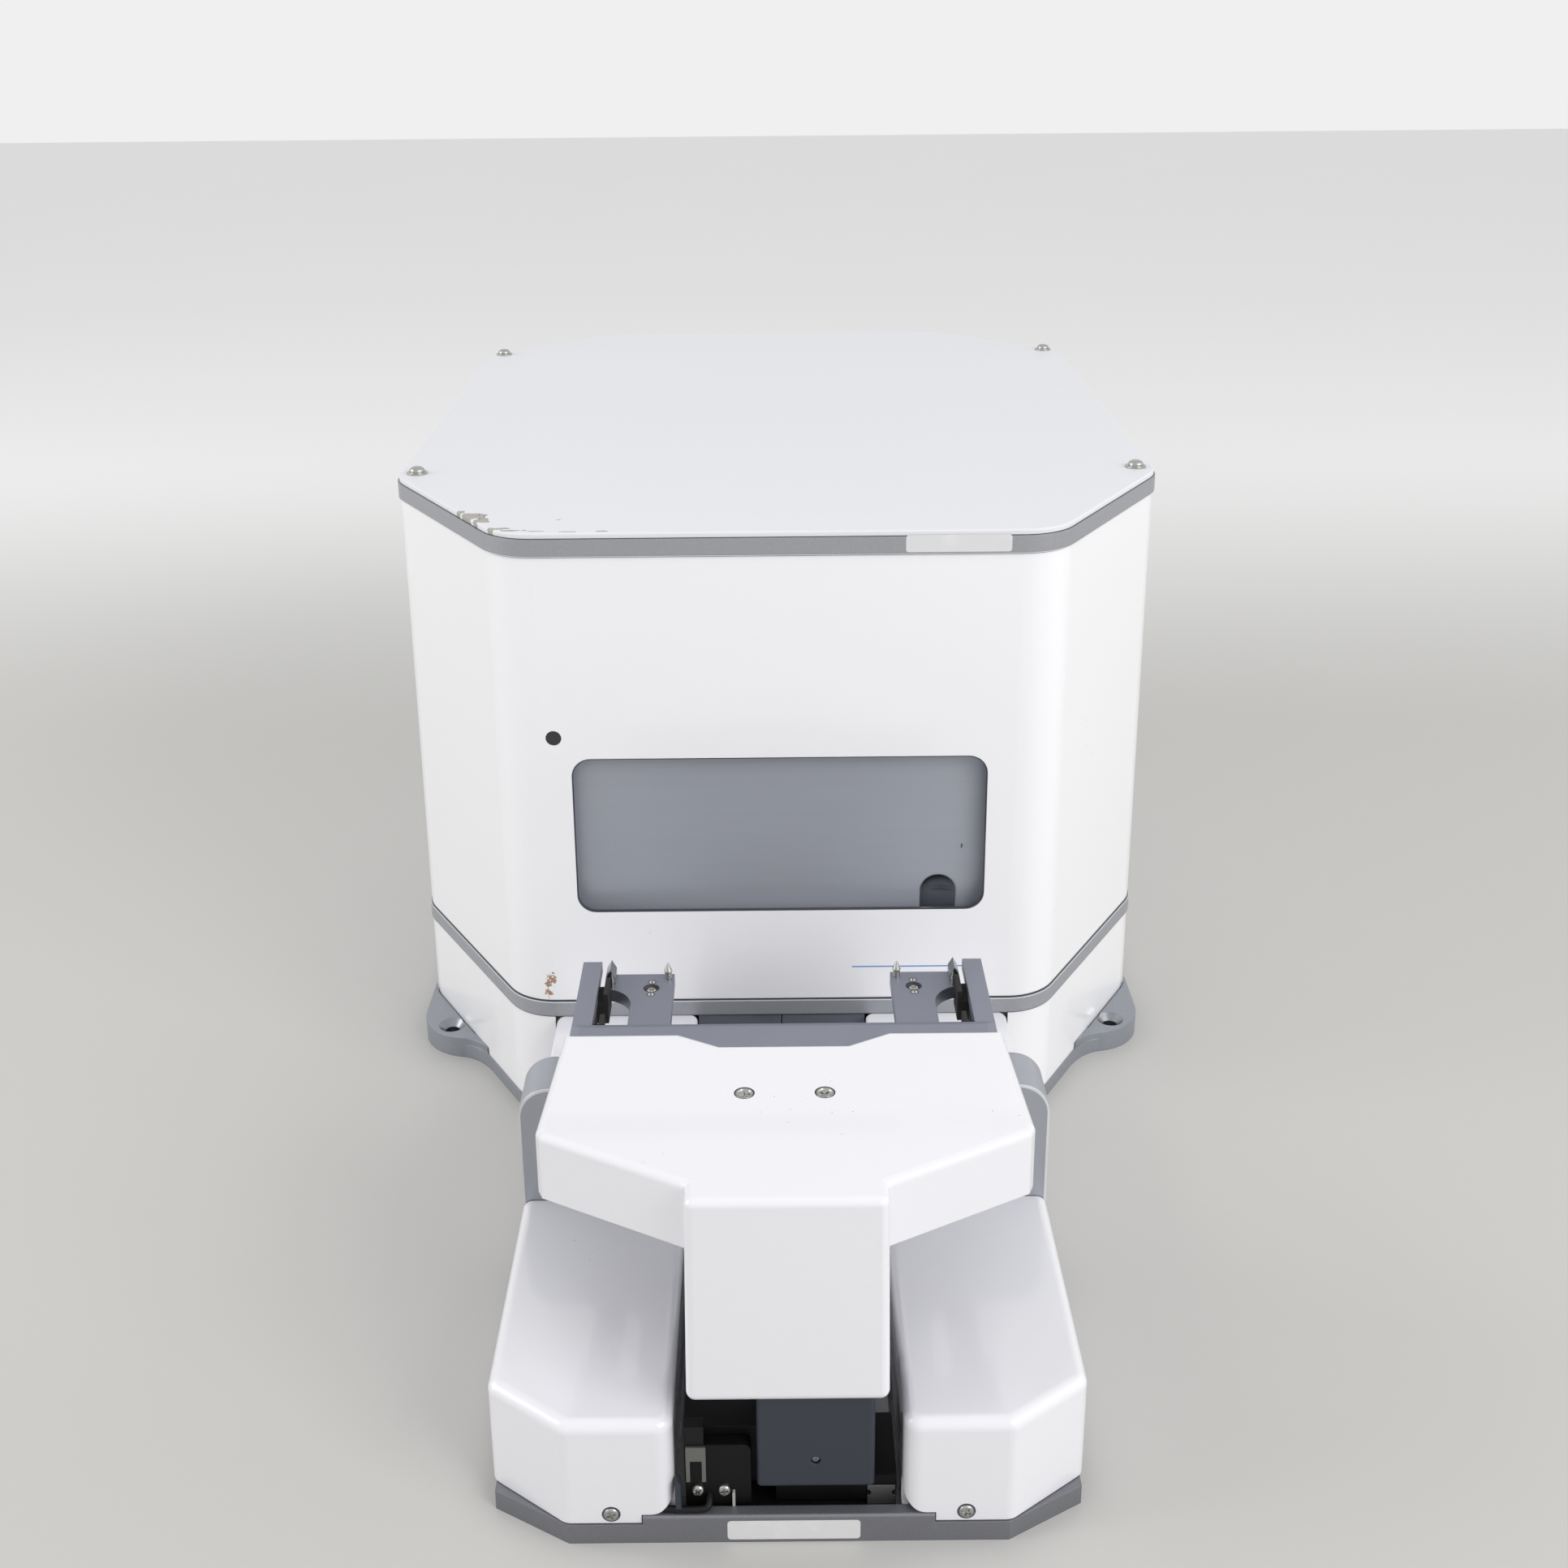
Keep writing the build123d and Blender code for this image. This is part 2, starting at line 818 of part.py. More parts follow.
def bucket_ear(side):
    """Upright lug that hangs the bucket on its trunnion pin."""
    x_inner = side * bucket_ear_inner
    profile = outline(
        [
            (-bucket_ear_half_width, bucket_floor_z),
            (bucket_ear_half_width, bucket_floor_z),
            (bucket_ear_radius, trunnion_z),
            (-bucket_ear_radius, trunnion_z),
        ]
    )
    profile += Pos(0, trunnion_z) * Circle(bucket_ear_radius)
    profile -= Pos(0, trunnion_z) * Circle(trunnion_pin_radius + running_gap)
    upright = Plane(origin=(x_inner, 0, 0), x_dir=(0, 1, 0), z_dir=(1, 0, 0))
    return extrude(upright * profile, amount=side * bucket_ear_thickness)


def make_bucket():
    """Swing-out bucket, modelled about its own trunnion line, hub on the +Y side."""
    floor_top = bucket_floor_z + bucket_floor_thickness
    ear_outer = bucket_ear_inner + bucket_ear_thickness
    reach = bucket_half_depth
    z_floor = (bucket_floor_z, floor_top)
    bucket = block((-bucket_half_length, bucket_half_length), (-reach, reach), z_floor)
    bucket = fillet(bucket.edges().filter_by(Axis.Z), bucket_ear_radius / 2)
    bucket += block(
        (-ear_outer, ear_outer), (-bucket_ear_half_width, bucket_ear_half_width), z_floor
    )
    for side in (-1, 1):
        bucket += bucket_ear(side)
    rib_half = bucket_half_length - bucket_ear_radius
    rib_y = (-reach, -reach + bucket_rib_width)
    bucket += block((-rib_half, rib_half), rib_y, (bucket_floor_z - bucket_rib_depth, bucket_floor_z))
    seat_reach = plate_width / 2
    seat = block((-seat_half_width, seat_half_width), (-seat_reach, seat_reach), (floor_top, plate_seat_z))
    pocket_half = seat_half_width - seat_wall
    pocket_reach = seat_reach - seat_wall
    seat -= block((-pocket_half, pocket_half), (-pocket_reach, pocket_reach), (floor_top, plate_seat_z + 1))
    ledge_half = plate_length / 2 - bucket_wall
    ledge = block(
        (-ledge_half, ledge_half), (seat_reach - ledge_depth, seat_reach), (floor_top, plate_seat_z)
    )
    ledge -= block((-pocket_half, pocket_half), (0, seat_reach - seat_wall), (floor_top, plate_seat_z + 1))
    pocket_y = (seat_reach - ledge_depth + seat_wall, seat_reach - seat_wall)
    for side in (-1, 1):
        pocket_x = mirrored_span(seat_half_width, ledge_half - seat_wall, side)
        ledge -= block(pocket_x, pocket_y, (floor_top, plate_seat_z + 1))
    bucket += seat + ledge
    wall_y = reach - bucket_wall
    wall_top = floor_top + bucket_wall_height
    half = bucket_half_length - bucket_wall
    bucket += block((-half, half), (wall_y - bucket_wall, wall_y), (floor_top, wall_top))
    for side in (-1, 1):
        x_span = mirrored_span(half - bucket_wall, half, side)
        bucket += block(x_span, (seat_reach - ledge_depth, wall_y), (floor_top, wall_top))
    return bucket


# --- Rear connections and electronics --------------------------------------------

rear_wall_outer = rear_y - shell_inset
rear_wall_inner = rear_wall_outer - shell_wall


def air_fitting_places():
    return [air_fitting_x, air_fitting_x + air_fitting_pitch]


def make_power_inlet():
    """Three-pin appliance inlet in a flanged shell."""
    half_w = inlet_width / 2
    half_h = inlet_height / 2
    z_span = (connector_z - half_h + seat_gap, connector_z + half_h - seat_gap)
    x_span = (inlet_x - half_w + seat_gap, inlet_x + half_w - seat_gap)
    body = block(x_span, (rear_wall_outer - inlet_depth, rear_wall_outer), z_span)
    body += block(
        (inlet_x - half_w - inlet_flange, inlet_x + half_w + inlet_flange),
        (rear_wall_outer, rear_wall_outer + 2),
        (connector_z - half_h - inlet_flange / 2, connector_z + half_h + inlet_flange / 2),
    )
    well_half = half_w - inlet_wall
    well_floor = rear_wall_outer - inlet_depth + inlet_wall
    body -= block(
        (inlet_x - well_half, inlet_x + well_half),
        (well_floor, rear_wall_outer + inlet_wall),
        (connector_z - half_h + inlet_wall, connector_z + half_h - inlet_wall),
    )
    blade_y = (well_floor - 1, rear_wall_outer - inlet_wall)
    for place in (-1, 0, 1):
        x = inlet_x + place * inlet_blade_pitch
        z = connector_z + (inlet_blade_rise / 2 if place == 0 else -inlet_blade_rise / 2)
        half = inlet_blade_half
        body += block((x - half / 2, x + half / 2), blade_y, (z - half, z + half))
    return body


rocker_axis_y = rear_wall_outer - 4.0
rocker_half_width = switch_width / 2 - 1.5 - slide_gap
rocker_half_height = switch_height / 2 - 1.5 - 1.0


def make_switch_frame():
    half_w = switch_width / 2
    half_h = switch_height / 2
    frame = block(
        (switch_x - half_w + seat_gap, switch_x + half_w - seat_gap),
        (rear_wall_outer - switch_depth, rear_wall_outer),
        (connector_z - half_h + seat_gap, connector_z + half_h - seat_gap),
    )
    frame += block(
        (switch_x - half_w - 1.5, switch_x + half_w + 1.5),
        (rear_wall_outer, rear_wall_outer + 1.5),
        (connector_z - half_h - 1.5, connector_z + half_h + 1.5),
    )
    well_w = half_w - 1.5
    well_h = half_h - 1.5
    frame -= block(
        (switch_x - well_w, switch_x + well_w),
        (rear_wall_outer - switch_depth + 3, rear_wall_outer + 3),
        (connector_z - well_h, connector_z + well_h),
    )
    reach = rocker_half_width + slide_gap + rocker_pivot_length + running_gap
    bore_radius = rocker_pivot_radius + running_gap
    return frame - rod_along_x(bore_radius, switch_x - reach, switch_x + reach, rocker_axis_y, connector_z)


def make_power_rocker():
    """Rocker that tips about a cross pin; it rests at the off side."""
    thickness = 5.0
    left = switch_x - rocker_half_width
    right = switch_x + rocker_half_width
    profile = outline(
        [
            (rocker_axis_y - thickness / 2, connector_z - rocker_half_height),
            (rocker_axis_y + thickness / 2, connector_z - rocker_half_height),
            (rocker_axis_y + thickness / 2 - 1, connector_z),
            (rocker_axis_y + thickness / 2, connector_z + rocker_half_height),
            (rocker_axis_y - thickness / 2, connector_z + rocker_half_height),
        ]
    )
    side_plane = Plane(origin=(left, 0, 0), x_dir=(0, 1, 0), z_dir=(1, 0, 0))
    rocker = extrude(side_plane * profile, amount=right - left)
    reach = slide_gap + rocker_pivot_length
    rocker += rod_along_x(rocker_pivot_radius, left - reach, right + reach, rocker_axis_y, connector_z)
    pivot = Axis((switch_x, rocker_axis_y, connector_z), (1, 0, 0))
    return rocker.rotate(pivot, rocker_rest_tilt)


def make_serial_port():
    half_w = serial_width / 2
    half_h = serial_height / 2
    port = block(
        (serial_x - half_w + 5, serial_x + half_w - 5),
        (rear_wall_outer - 8, rear_wall_outer + 5),
        (connector_z - half_h + 2, connector_z + half_h - 2),
    )
    port -= block(
        (serial_x - half_w + 6, serial_x + half_w - 6),
        (rear_wall_outer, rear_wall_outer + 6),
        (connector_z - half_h + 3, connector_z + half_h - 3),
    )
    port += block(
        (serial_x - half_w - 1, serial_x + half_w + 1),
        (rear_wall_inner - 1.5, rear_wall_inner),
        (connector_z - half_h - 1, connector_z + half_h + 1),
    )
    return port


def make_air_fittings():
    """Two push-in air fittings through the rear wall."""
    fittings = []
    for x in air_fitting_places():
        tail_y = rear_wall_inner - fitting_tail
        collar_y = rear_wall_inner - fitting_collar
        mouth_y = rear_wall_outer + fitting_reach
        neck = air_fitting_radius - fitting_step - running_gap
        fitting = rod_along_y(neck, tail_y, rear_wall_outer, x, connector_z)
        fitting += rod_along_y(air_fitting_radius, rear_wall_outer, mouth_y, x, connector_z)
        fitting += rod_along_y(air_fitting_radius, collar_y, rear_wall_inner, x, connector_z)
        fitting -= rod_along_y(fitting_bore_radius, tail_y - 1, mouth_y + 1, x, connector_z)
        fittings.append(fitting)
    return Compound(fittings)


supply_centre_x = -60.0
board_centre_x = 52.0
electronics_y = chamber_outer + electronics_gap


def make_power_supply():
    return block(
        (supply_centre_x - supply_size_x / 2, supply_centre_x + supply_size_x / 2),
        (electronics_y, electronics_y + supply_size_y),
        (base_thickness, base_thickness + supply_size_z),
    )


def board_standoffs():
    """Pressed-in pillars that carry the controller board."""
    pegs = []
    for side in (-1, 1):
        for end in (-1, 1):
            x = board_centre_x + side * (board_size_x / 2 - board_edge)
            y = electronics_y + board_size_y / 2 + end * (board_size_y / 2 - board_edge)
            pegs.append(rod(standoff_radius, base_thickness, base_thickness + standoff_height, x, y))
    return pegs


def make_controller_board():
    z_low = base_thickness + standoff_height
    board = block(
        (board_centre_x - board_size_x / 2, board_centre_x + board_size_x / 2),
        (electronics_y, electronics_y + board_size_y),
        (z_low, z_low + board_thickness),
    )
    chip_z = (z_low + board_thickness, z_low + board_thickness + chip_height)
    chip_low = electronics_y + board_size_y / 5
    for column in (-1, 1):
        x = board_centre_x + column * board_size_x / 5
        board += block((x - chip_width / 2, x + chip_width / 2), (chip_low, chip_low + chip_length), chip_z)
    return board


# --- Loader housing ------------------------------------------------------------------

loader_front_y = loader_y(loader_length)


def cornered_plan(half_width, front_half, y_front, chamfer_y, y_back):
    """Plan of the loader: a strip whose front corners are cut off."""
    return outline(
        [
            (-front_half, y_front),
            (front_half, y_front),
            (half_width, y_front + chamfer_y),
            (half_width, y_back),
            (-half_width, y_back),
            (-half_width, y_front + chamfer_y),
        ]
    )


def make_loader_base():
    plan = cornered_plan(
        loader_half_width,
        loader_front_half_width,
        loader_front_y,
        loader_chamfer_y,
        front_y + shell_inset / 2 - seat_gap,
    )
    base = prism(plan, 0, loader_base_thickness)
    lip_top = loader_base_thickness + loader_lip_height
    base += block(
        (-loader_lip_half_width, loader_lip_half_width),
        (loader_front_y, loader_front_y + loader_lip_depth),
        (loader_base_thickness, lip_top),
    )
    lip_edges = base.edges().group_by(Axis.Z)[-1].filter_by(Axis.X)
    return fillet(lip_edges, 1.0)


side_cover_top = loader_deck_z + side_cover_height
side_front_y = loader_front_y + side_cover_front_inset
side_back_y = loader_y(bulkhead_front_at) - seat_gap


def side_cover_plan(inset):
    """Plan of the left side cover, drawn inset by the wall where asked."""
    outer = -cover_half_width + inset
    inner = -channel_half_width - inset
    front = side_front_y + inset
    slope = inset * 0.5
    return outline(
        [
            (outer, front + side_cover_chamfer_y - slope),
            (outer + side_cover_chamfer_x - slope, front),
            (inner, front),
            (inner, side_back_y - inset),
            (outer, side_back_y - inset),
        ]
    )


def make_side_cover(side):
    """Moulded side cover: rounded corners and top edges, hollow from below."""
    plan = side_cover_plan(0)
    corners = plan.vertices()
    front_corners = corners.filter_by(lambda v: v.Y < side_back_y - 1)
    plan = fillet(front_corners, cover_round + 2)
    cover = prism(plan, loader_deck_z + seat_gap, side_cover_top)
    upper = cover.edges().group_by(Axis.Z)[-1].filter_by(
        lambda e: e.center().Y < side_back_y - 1
    )
    cover = fillet(upper, cover_round)
    cover -= prism(side_cover_plan(cover_wall), loader_deck_z - 1, side_cover_top - cover_wall)
    notch_top = loader_deck_z + cover_notch_height + seat_gap
    cover -= block(
        (-loader_lip_half_width - seat_gap, -channel_half_width + 1),
        (side_front_y - 1, loader_front_y + loader_lip_depth + seat_gap),
        (0, notch_top),
    )
    foot_top = notch_top + cover_foot_round
    foot_y = (side_front_y - 1, side_front_y + cover_foot_depth)
    round_x = -channel_half_width - cover_foot_round
    foot = block((round_x, -channel_half_width + 1), foot_y, (notch_top - 1, foot_top))
    cover -= foot - rod_along_y(cover_foot_round, *foot_y, round_x, foot_top)
    cover -= rod_along_y(
        side_screw_head_radius + running_gap,
        side_front_y - 1,
        side_front_y + cover_wall + 1,
        -side_cover_screw_x,
        side_cover_screw_z,
    )
    return cover if side < 0 else flip_x(cover)


def side_cover_screws():
    """Button-head screws at the foot of the side covers."""
    screws = []
    for side in (-1, 1):
        x = side * side_cover_screw_x
        head = rod_along_y(
            side_screw_head_radius, side_front_y - 0.8, side_front_y + 1.2, x, side_cover_screw_z
        )
        shank = rod_along_y(
            screw_shank_radius / 2, side_front_y + 1, side_front_y + cover_wall + 6, x, side_cover_screw_z
        )
        tab = block(
            (x - 5, x + 5),
            (side_front_y + cover_wall + seat_gap, side_front_y + cover_wall + 4),
            (loader_deck_z, side_cover_screw_z + 5),
        )
        screws.append(head + shank + tab)
    return screws


def make_bulkhead(side):
    """One upright of the loader's frame, beside the slot for the moving head."""
    y_span = (loader_y(bulkhead_front_at), loader_y(bulkhead_front_at - bulkhead_depth))
    x_span = (-cover_half_width, -channel_half_width + bulkhead_overhang)
    upright = block(x_span, y_span, (loader_deck_z, bulkhead_height))
    top_edges = upright.edges().filter_by(Axis.Y).group_by(Axis.Z)[-1].sort_by(Axis.X)
    upright = fillet(top_edges[0], bulkhead_radius)
    front_face = upright.faces().sort_by(Axis.Y)[0]
    rim = front_face.edges().filter_by(lambda e: e.center().Z > loader_deck_z + 1)
    upright = chamfer(rim, bulkhead_edge)
    return upright if side < 0 else flip_x(upright)


rear_cover_top = lower_shell_top - rear_cover_top_gap
rear_cover_front_y = loader_y(bulkhead_front_at - bulkhead_depth) + seat_gap
rear_cover_back_y = casing_face_y + rear_cover_tuck


def make_rear_cover(side):
    """Moulded cover between the bulkhead and the casing, hollow from below."""
    x_span = (-cover_half_width, -channel_half_width)
    y_span = (rear_cover_front_y, rear_cover_back_y)
    cover = block(x_span, y_span, (loader_deck_z + seat_gap, rear_cover_top))
    cover = fillet(cover.edges().filter_by(Axis.Z).group_by(Axis.Y)[-1], rear_cover_round)
    upper = cover.edges().group_by(Axis.Z)[-1].filter_by(
        lambda e: e.center().Y > rear_cover_front_y + 1
    )
    cover = fillet(upper, rear_cover_edge)
    cover -= block(
        (x_span[0] + cover_wall, x_span[1] - cover_wall),
        (y_span[0] + cover_wall, y_span[1] - cover_wall),
        (0, rear_cover_top - cover_wall),
    )
    return cover if side < 0 else flip_x(cover)


def make_dock_panels():
    """Two flat panels that close the channel where the loader meets the casing."""
    panels = []
    half = channel_half_width - seat_gap
    panel_y = casing_face_y + dock_panel_setback
    y_span = (panel_y, panel_y + dock_panel_thickness)
    for side in (-1, 1):
        x_span = mirrored_span(dock_panel_seam / 2, half, side)
        panels.append(block(x_span, y_span, (base_thickness, lower_shell_top)))
    return Compound(panels)


# --- Loader drive -----------------------------------------------------------------------

rail_front_y = loader_front_y + loader_lip_depth + rail_end_gap
rail_back_y = loader_y(dock_gap + rail_end_gap)
column_front_y = loader_y(column_front_at)
column_back_y = column_front_y + column_depth
end_block_front_y = loader_front_y + loader_lip_depth + 2 * seat_gap
tube_front_y = end_block_front_y + end_block_depth
shuttle_front_y = tube_front_y + seat_gap
tube_back_y = shuttle_front_y + shuttle_length + carriage_travel + seat_gap


def make_linear_rail():
    """Ground guide rail with a waisted section."""
    rail = block(
        (rail_x - rail_width / 2, rail_x + rail_width / 2),
        (rail_front_y, rail_back_y),
        (loader_deck_z, loader_deck_z + rail_height),
    )
    for side in (-1, 1):
        edge = rail_x + side * rail_width / 2
        groove_z = loader_deck_z + rail_height * 0.6
        rail -= rod_along_y(1.2, rail_front_y - 1, rail_back_y + 1, edge, groove_z)
    return rail


def end_block(y_low):
    """Upright block that closes one end of the air cylinder."""
    half = end_block_width / 2
    z_span = (loader_deck_z, loader_deck_z + end_block_height)
    body = block((tube_x - half, tube_x + half), (y_low, y_low + end_block_depth), z_span)
    return fillet(body.edges().filter_by(Axis.Y), 2.5)


def end_screw_places():
    return [end_screw_x + index * end_screw_pitch for index in range(2)]


def make_cylinder_ends():
    """Front and rear end blocks of the rodless cylinder."""
    front = end_block(end_block_front_y)
    for x in end_screw_places():
        y_span = (end_block_front_y - 1, end_block_front_y + 3)
        front -= rod_along_y(1.2, *y_span, x, end_screw_z)
    return Compound([front, end_block(tube_back_y)])


def make_rodless_cylinder():
    """Smooth air cylinder tube that the shuttle rides on."""
    tube = rod_along_y(tube_radius, tube_front_y, tube_back_y, tube_x, tube_z)
    return tube - rod_along_y(tube_radius - 1.2, tube_front_y + 1, tube_back_y - 1, tube_x, tube_z)


def make_home_sensor():
    """Small sensor on top of the front end block."""
    left = tube_x - end_block_width / 2
    z_low = loader_deck_z + end_block_height
    return block(
        (left, left + sensor_width),
        (end_block_front_y, end_block_front_y + end_block_depth),
        (z_low, z_low + sensor_height),
    )


def end_screws():
    """Pan-head screws in the front end block."""
    screws = []
    for x in end_screw_places():
        y = end_block_front_y
        head = rod_along_y(end_screw_radius, y - end_screw_head, y, x, end_screw_z)
        head = fillet(head.edges().group_by(Axis.Y)[0], 0.9)
        screws.append(head + rod_along_y(1.2, y, y + 3, x, end_screw_z))
    return screws


def make_carriage_block():
    """Bearing block that straddles the guide rail."""
    right = channel_half_width - bulkhead_overhang - 2 * slide_gap
    body = block(
        (column_left + 6, right),
        (column_front_y + 4, column_back_y),
        (column_bottom - carriage_block_height, column_bottom),
    )
    body -= block(
        (rail_x - rail_width / 2 - slide_gap, rail_x + rail_width / 2 + slide_gap),
        (column_front_y, column_back_y + 1),
        (0, loader_deck_z + rail_height + slide_gap),
    )
    return body


def make_carriage_column():
    """Upright column that carries the gripper head."""
    column = block(
        (column_left, column_right),
        (column_front_y, column_back_y),
        (column_bottom, column_top),
    )
    column = fillet(column.edges().filter_by(Axis.Z), column_edge_round)
    hole_z = column_bottom + column_hole_height
    middle = (column_left + column_right) / 2
    hole_end = column_front_y + column_hole_depth
    return column - rod_along_y(column_hole_radius, column_front_y - 1, hole_end, middle, hole_z)


def make_cylinder_shuttle():
    """Block that is dragged along the tube and pushes the column."""
    y_span = (shuttle_front_y, shuttle_front_y + shuttle_length)
    half = shuttle_width / 2
    z_span = (tube_z - shuttle_height / 2, tube_z + shuttle_height / 2)
    shuttle = block((tube_x - half, column_left), y_span, z_span)
    bore = (y_span[0] - 1, y_span[1] + 1)
    return shuttle - rod_along_y(tube_radius + running_gap, *bore, tube_x, tube_z)


lift_middle_y = (column_front_y + column_back_y) / 2
lift_y_span = (lift_middle_y - lift_rail_width / 2, lift_middle_y + lift_rail_width / 2)
arm_bottom = head_top - head_nose_height + 3


def make_lift_rail():
    """Upright guide rail on the column's left face."""
    x_span = (column_left - lift_rail_depth, column_left)
    return block(x_span, lift_y_span, (arm_bottom - lift_down - 6, column_top))


# --- Gripper head ------------------------------------------------------------------------------

def head_plan(inset=0.0, rear_extra=0.0):
    """Plan of the head cover: two swept wings, a nose and a notched rear edge."""
    rear = loader_y(head_rear_at) + rear_extra
    notch = rear - head_notch_depth
    points = [
        (-head_nose_half_width, loader_y(head_front_at)),
        (-head_nose_half_width, loader_y(head_inner_front_at) - 1),
        (-head_inner_front_x, loader_y(head_inner_front_at)),
        (-head_outer_front_x, loader_y(head_outer_front_at)),
        (-head_wide_x, loader_y(head_wide_at)),
        (-head_rear_x, rear),
        (-head_notch_outer_x, rear),
        (-head_notch_inner_x, notch),
    ]
    points += [(-x, y) for x, y in reversed(points)]
    face = outline(points)
    return offset(face, amount=-inset, kind=Kind.INTERSECTION) if inset else face


def head_nose(inset, z_low, z_high):
    """Tapered nose that hangs down in front of the column."""
    half = head_nose_half_width - inset
    y_front = loader_y(head_front_at) + inset
    y_back = column_back_y + 2 - inset
    face = Pos(0, (y_front + y_back) / 2, z_high) * Rectangle(2 * half, y_back - y_front)
    return extrude(face, amount=-(z_high - z_low), taper=-head_nose_draft)


def rounded_nose(z_low, z_high):
    """Outside of the nose, with soft upright edges and soft lower corners."""
    nose = head_nose(0, z_low, z_high)
    front = nose.faces().sort_by(Axis.Y)[0]
    uprights = front.edges().sort_by(Axis.X)
    nose = fillet([uprights[0], uprights[-1]], head_nose_round)
    feet = nose.faces().sort_by(Axis.Z)[0].edges().filter_by(Axis.Y).sort_by(Axis.X)
    return fillet([feet[0], feet[-1]], head_foot_round)


def make_head_cover():
    """T-shaped cover shell with a deep nose, open below and behind."""
    skirt_bottom = head_top - head_skirt
    nose_bottom = head_top - head_nose_height
    plan = head_plan()
    nose_corners = plan.vertices().group_by(Axis.Y)[0]
    cover = prism(fillet(nose_corners, head_nose_round), skirt_bottom, head_top)
    cover += rounded_nose(nose_bottom, head_top)
    cover = fillet(cover.edges().group_by(Axis.Z)[-1], head_top_round)
    ceiling = head_top - head_cover_skin
    rear_cut = loader_y(head_rear_at)
    hollow = prism(head_plan(head_wall), skirt_bottom - 1, ceiling)
    rear_half = head_rear_x - head_wall
    rear_span = (rear_cut - head_rear_room, rear_cut + 1)
    hollow += block((-rear_half, rear_half), rear_span, (skirt_bottom - 1, ceiling))
    hollow += head_nose(head_wall, nose_bottom - 1, ceiling)
    cover -= hollow
    y = loader_y(head_screw_at)
    for side in (-1, 1):
        x = side * head_screw_x
        cover -= rod(screw_shank_radius + running_gap, ceiling - 1, head_top + 1, x, y)
        cover -= rod(head_screw_head_radius + running_gap, head_top - head_screw_sink, head_top + 1, x, y)
    return cover


def make_head_screws():
    """Two flush screws with dished heads, through the cover into the frame."""
    screws = []
    y = loader_y(head_screw_at)
    seat_z = head_top - head_screw_sink
    for side in (-1, 1):
        x = side * head_screw_x
        head = rod(head_screw_head_radius, seat_z, head_top, x, y)
        dish_depth = head_screw_sink / 2
        dish = Cone(head_screw_dish / 2, head_screw_dish, dish_depth)
        head -= Pos(x, y, head_top - dish_depth / 2) * dish
        screws.append(head + rod(screw_shank_radius, frame_top, seat_z, x, y))
    return Compound(screws)


def make_gripper_frame():
    """Flat frame under the cover with two rails that reach past the plate's ends."""
    crossbar_back = loader_y(frame_rear_at)
    tip = loader_y(gripper_rail_tip_at)
    cover_rear = loader_y(head_rear_at)
    z_span = (frame_bottom, frame_top)
    inner_plan = head_plan(head_wall + seat_gap)
    under_cover = prism(inner_plan, *z_span)
    keep = block((-body_width, body_width), (loader_y(frame_depth_at), cover_rear), z_span)
    frame = under_cover & keep
    half = head_rear_x - head_wall - seat_gap
    frame += block((-half, half), (cover_rear - frame_side_lap, crossbar_back), z_span)
    frame += block(
        (-gripper_rail_outer, gripper_rail_outer),
        (cover_rear + seat_gap, crossbar_back),
        z_span,
    )
    for side in (-1, 1):
        rail = mirrored_span(gripper_rail_inner, gripper_rail_outer, side)
        frame += block(rail, (cover_rear + seat_gap, tip), z_span)
        wall_inner = gripper_rail_outer - gripper_rail_wall
        wall = mirrored_span(wall_inner, gripper_rail_outer, side)
        z_wall = (frame_top - gripper_rail_drop, frame_top)
        frame += block(wall, (cover_rear + seat_gap, tip), z_wall)
    return frame + crossbar_cap()


def crossbar_cap():
    """Raised strip behind the cover, bevelled towards the forks and mitred at its ends."""
    back = loader_y(frame_rear_at)
    front = loader_y(head_rear_at) - head_notch_depth
    half = gripper_rail_outer
    cap = block((-half, half), (front, back), (frame_top, frame_top + crossbar_rise))
    upper = cap.edges().group_by(Axis.Z)[-1]
    rear_edge = upper.sort_by(Axis.Y)[-1]
    ends = upper.sort_by(Axis.X)
    cap = chamfer([rear_edge, ends[0], ends[-1]], crossbar_rise * 0.9, crossbar_bevel)
    return cap - prism(offset(head_plan(), amount=seat_gap, kind=Kind.INTERSECTION), frame_top, head_top)


fork_bottom = fork_top - fork_thickness


def fork_plan():
    """Plan of the left fork, with a hollow curve where it widens to its tip."""
    tip = loader_y(fork_tip_at)
    wing = loader_y(fork_wing_at)
    arc_end = loader_y(fork_arc_end_at)
    root = loader_y(fork_root_at)
    bulge = (-fork_outer_x - 2.0, (wing + arc_end) / 2 + 2.0)
    edges = [
        Line((-fork_inner_x, root), (-fork_inner_x, tip)),
        Line((-fork_inner_x, tip), (-fork_wing_x, tip)),
        Line((-fork_wing_x, tip), (-fork_wing_x, wing)),
        ThreePointArc((-fork_wing_x, wing), bulge, (-fork_outer_x, arc_end)),
        Line((-fork_outer_x, arc_end), (-fork_outer_x, root)),
        Line((-fork_outer_x, root), (-fork_inner_x, root)),
    ]
    return make_face(edges)


def make_fork():
    """Left fork blade with its counterbore, dowel holes and raised root."""
    fork = prism(fork_plan(), fork_bottom, fork_top)
    fork += block(
        (-fork_outer_x, -fork_inner_x),
        (loader_y(fork_root_at), loader_y(frame_rear_at) - seat_gap),
        (fork_bottom, frame_bottom),
    )
    y = loader_y(fork_screw_at)
    fork -= rod(fork_bore_radius, fork_top - 3, fork_top + 1, -fork_screw_x, y)
    for end in (-1, 1):
        dowel_y = y + end * fork_dowel_pitch / 2
        fork -= rod(fork_dowel_radius, fork_top - 1.5, fork_top + 1, -fork_screw_x, dowel_y)
    return fork


def make_forks():
    fork = make_fork()
    return Compound([fork, flip_x(fork)])


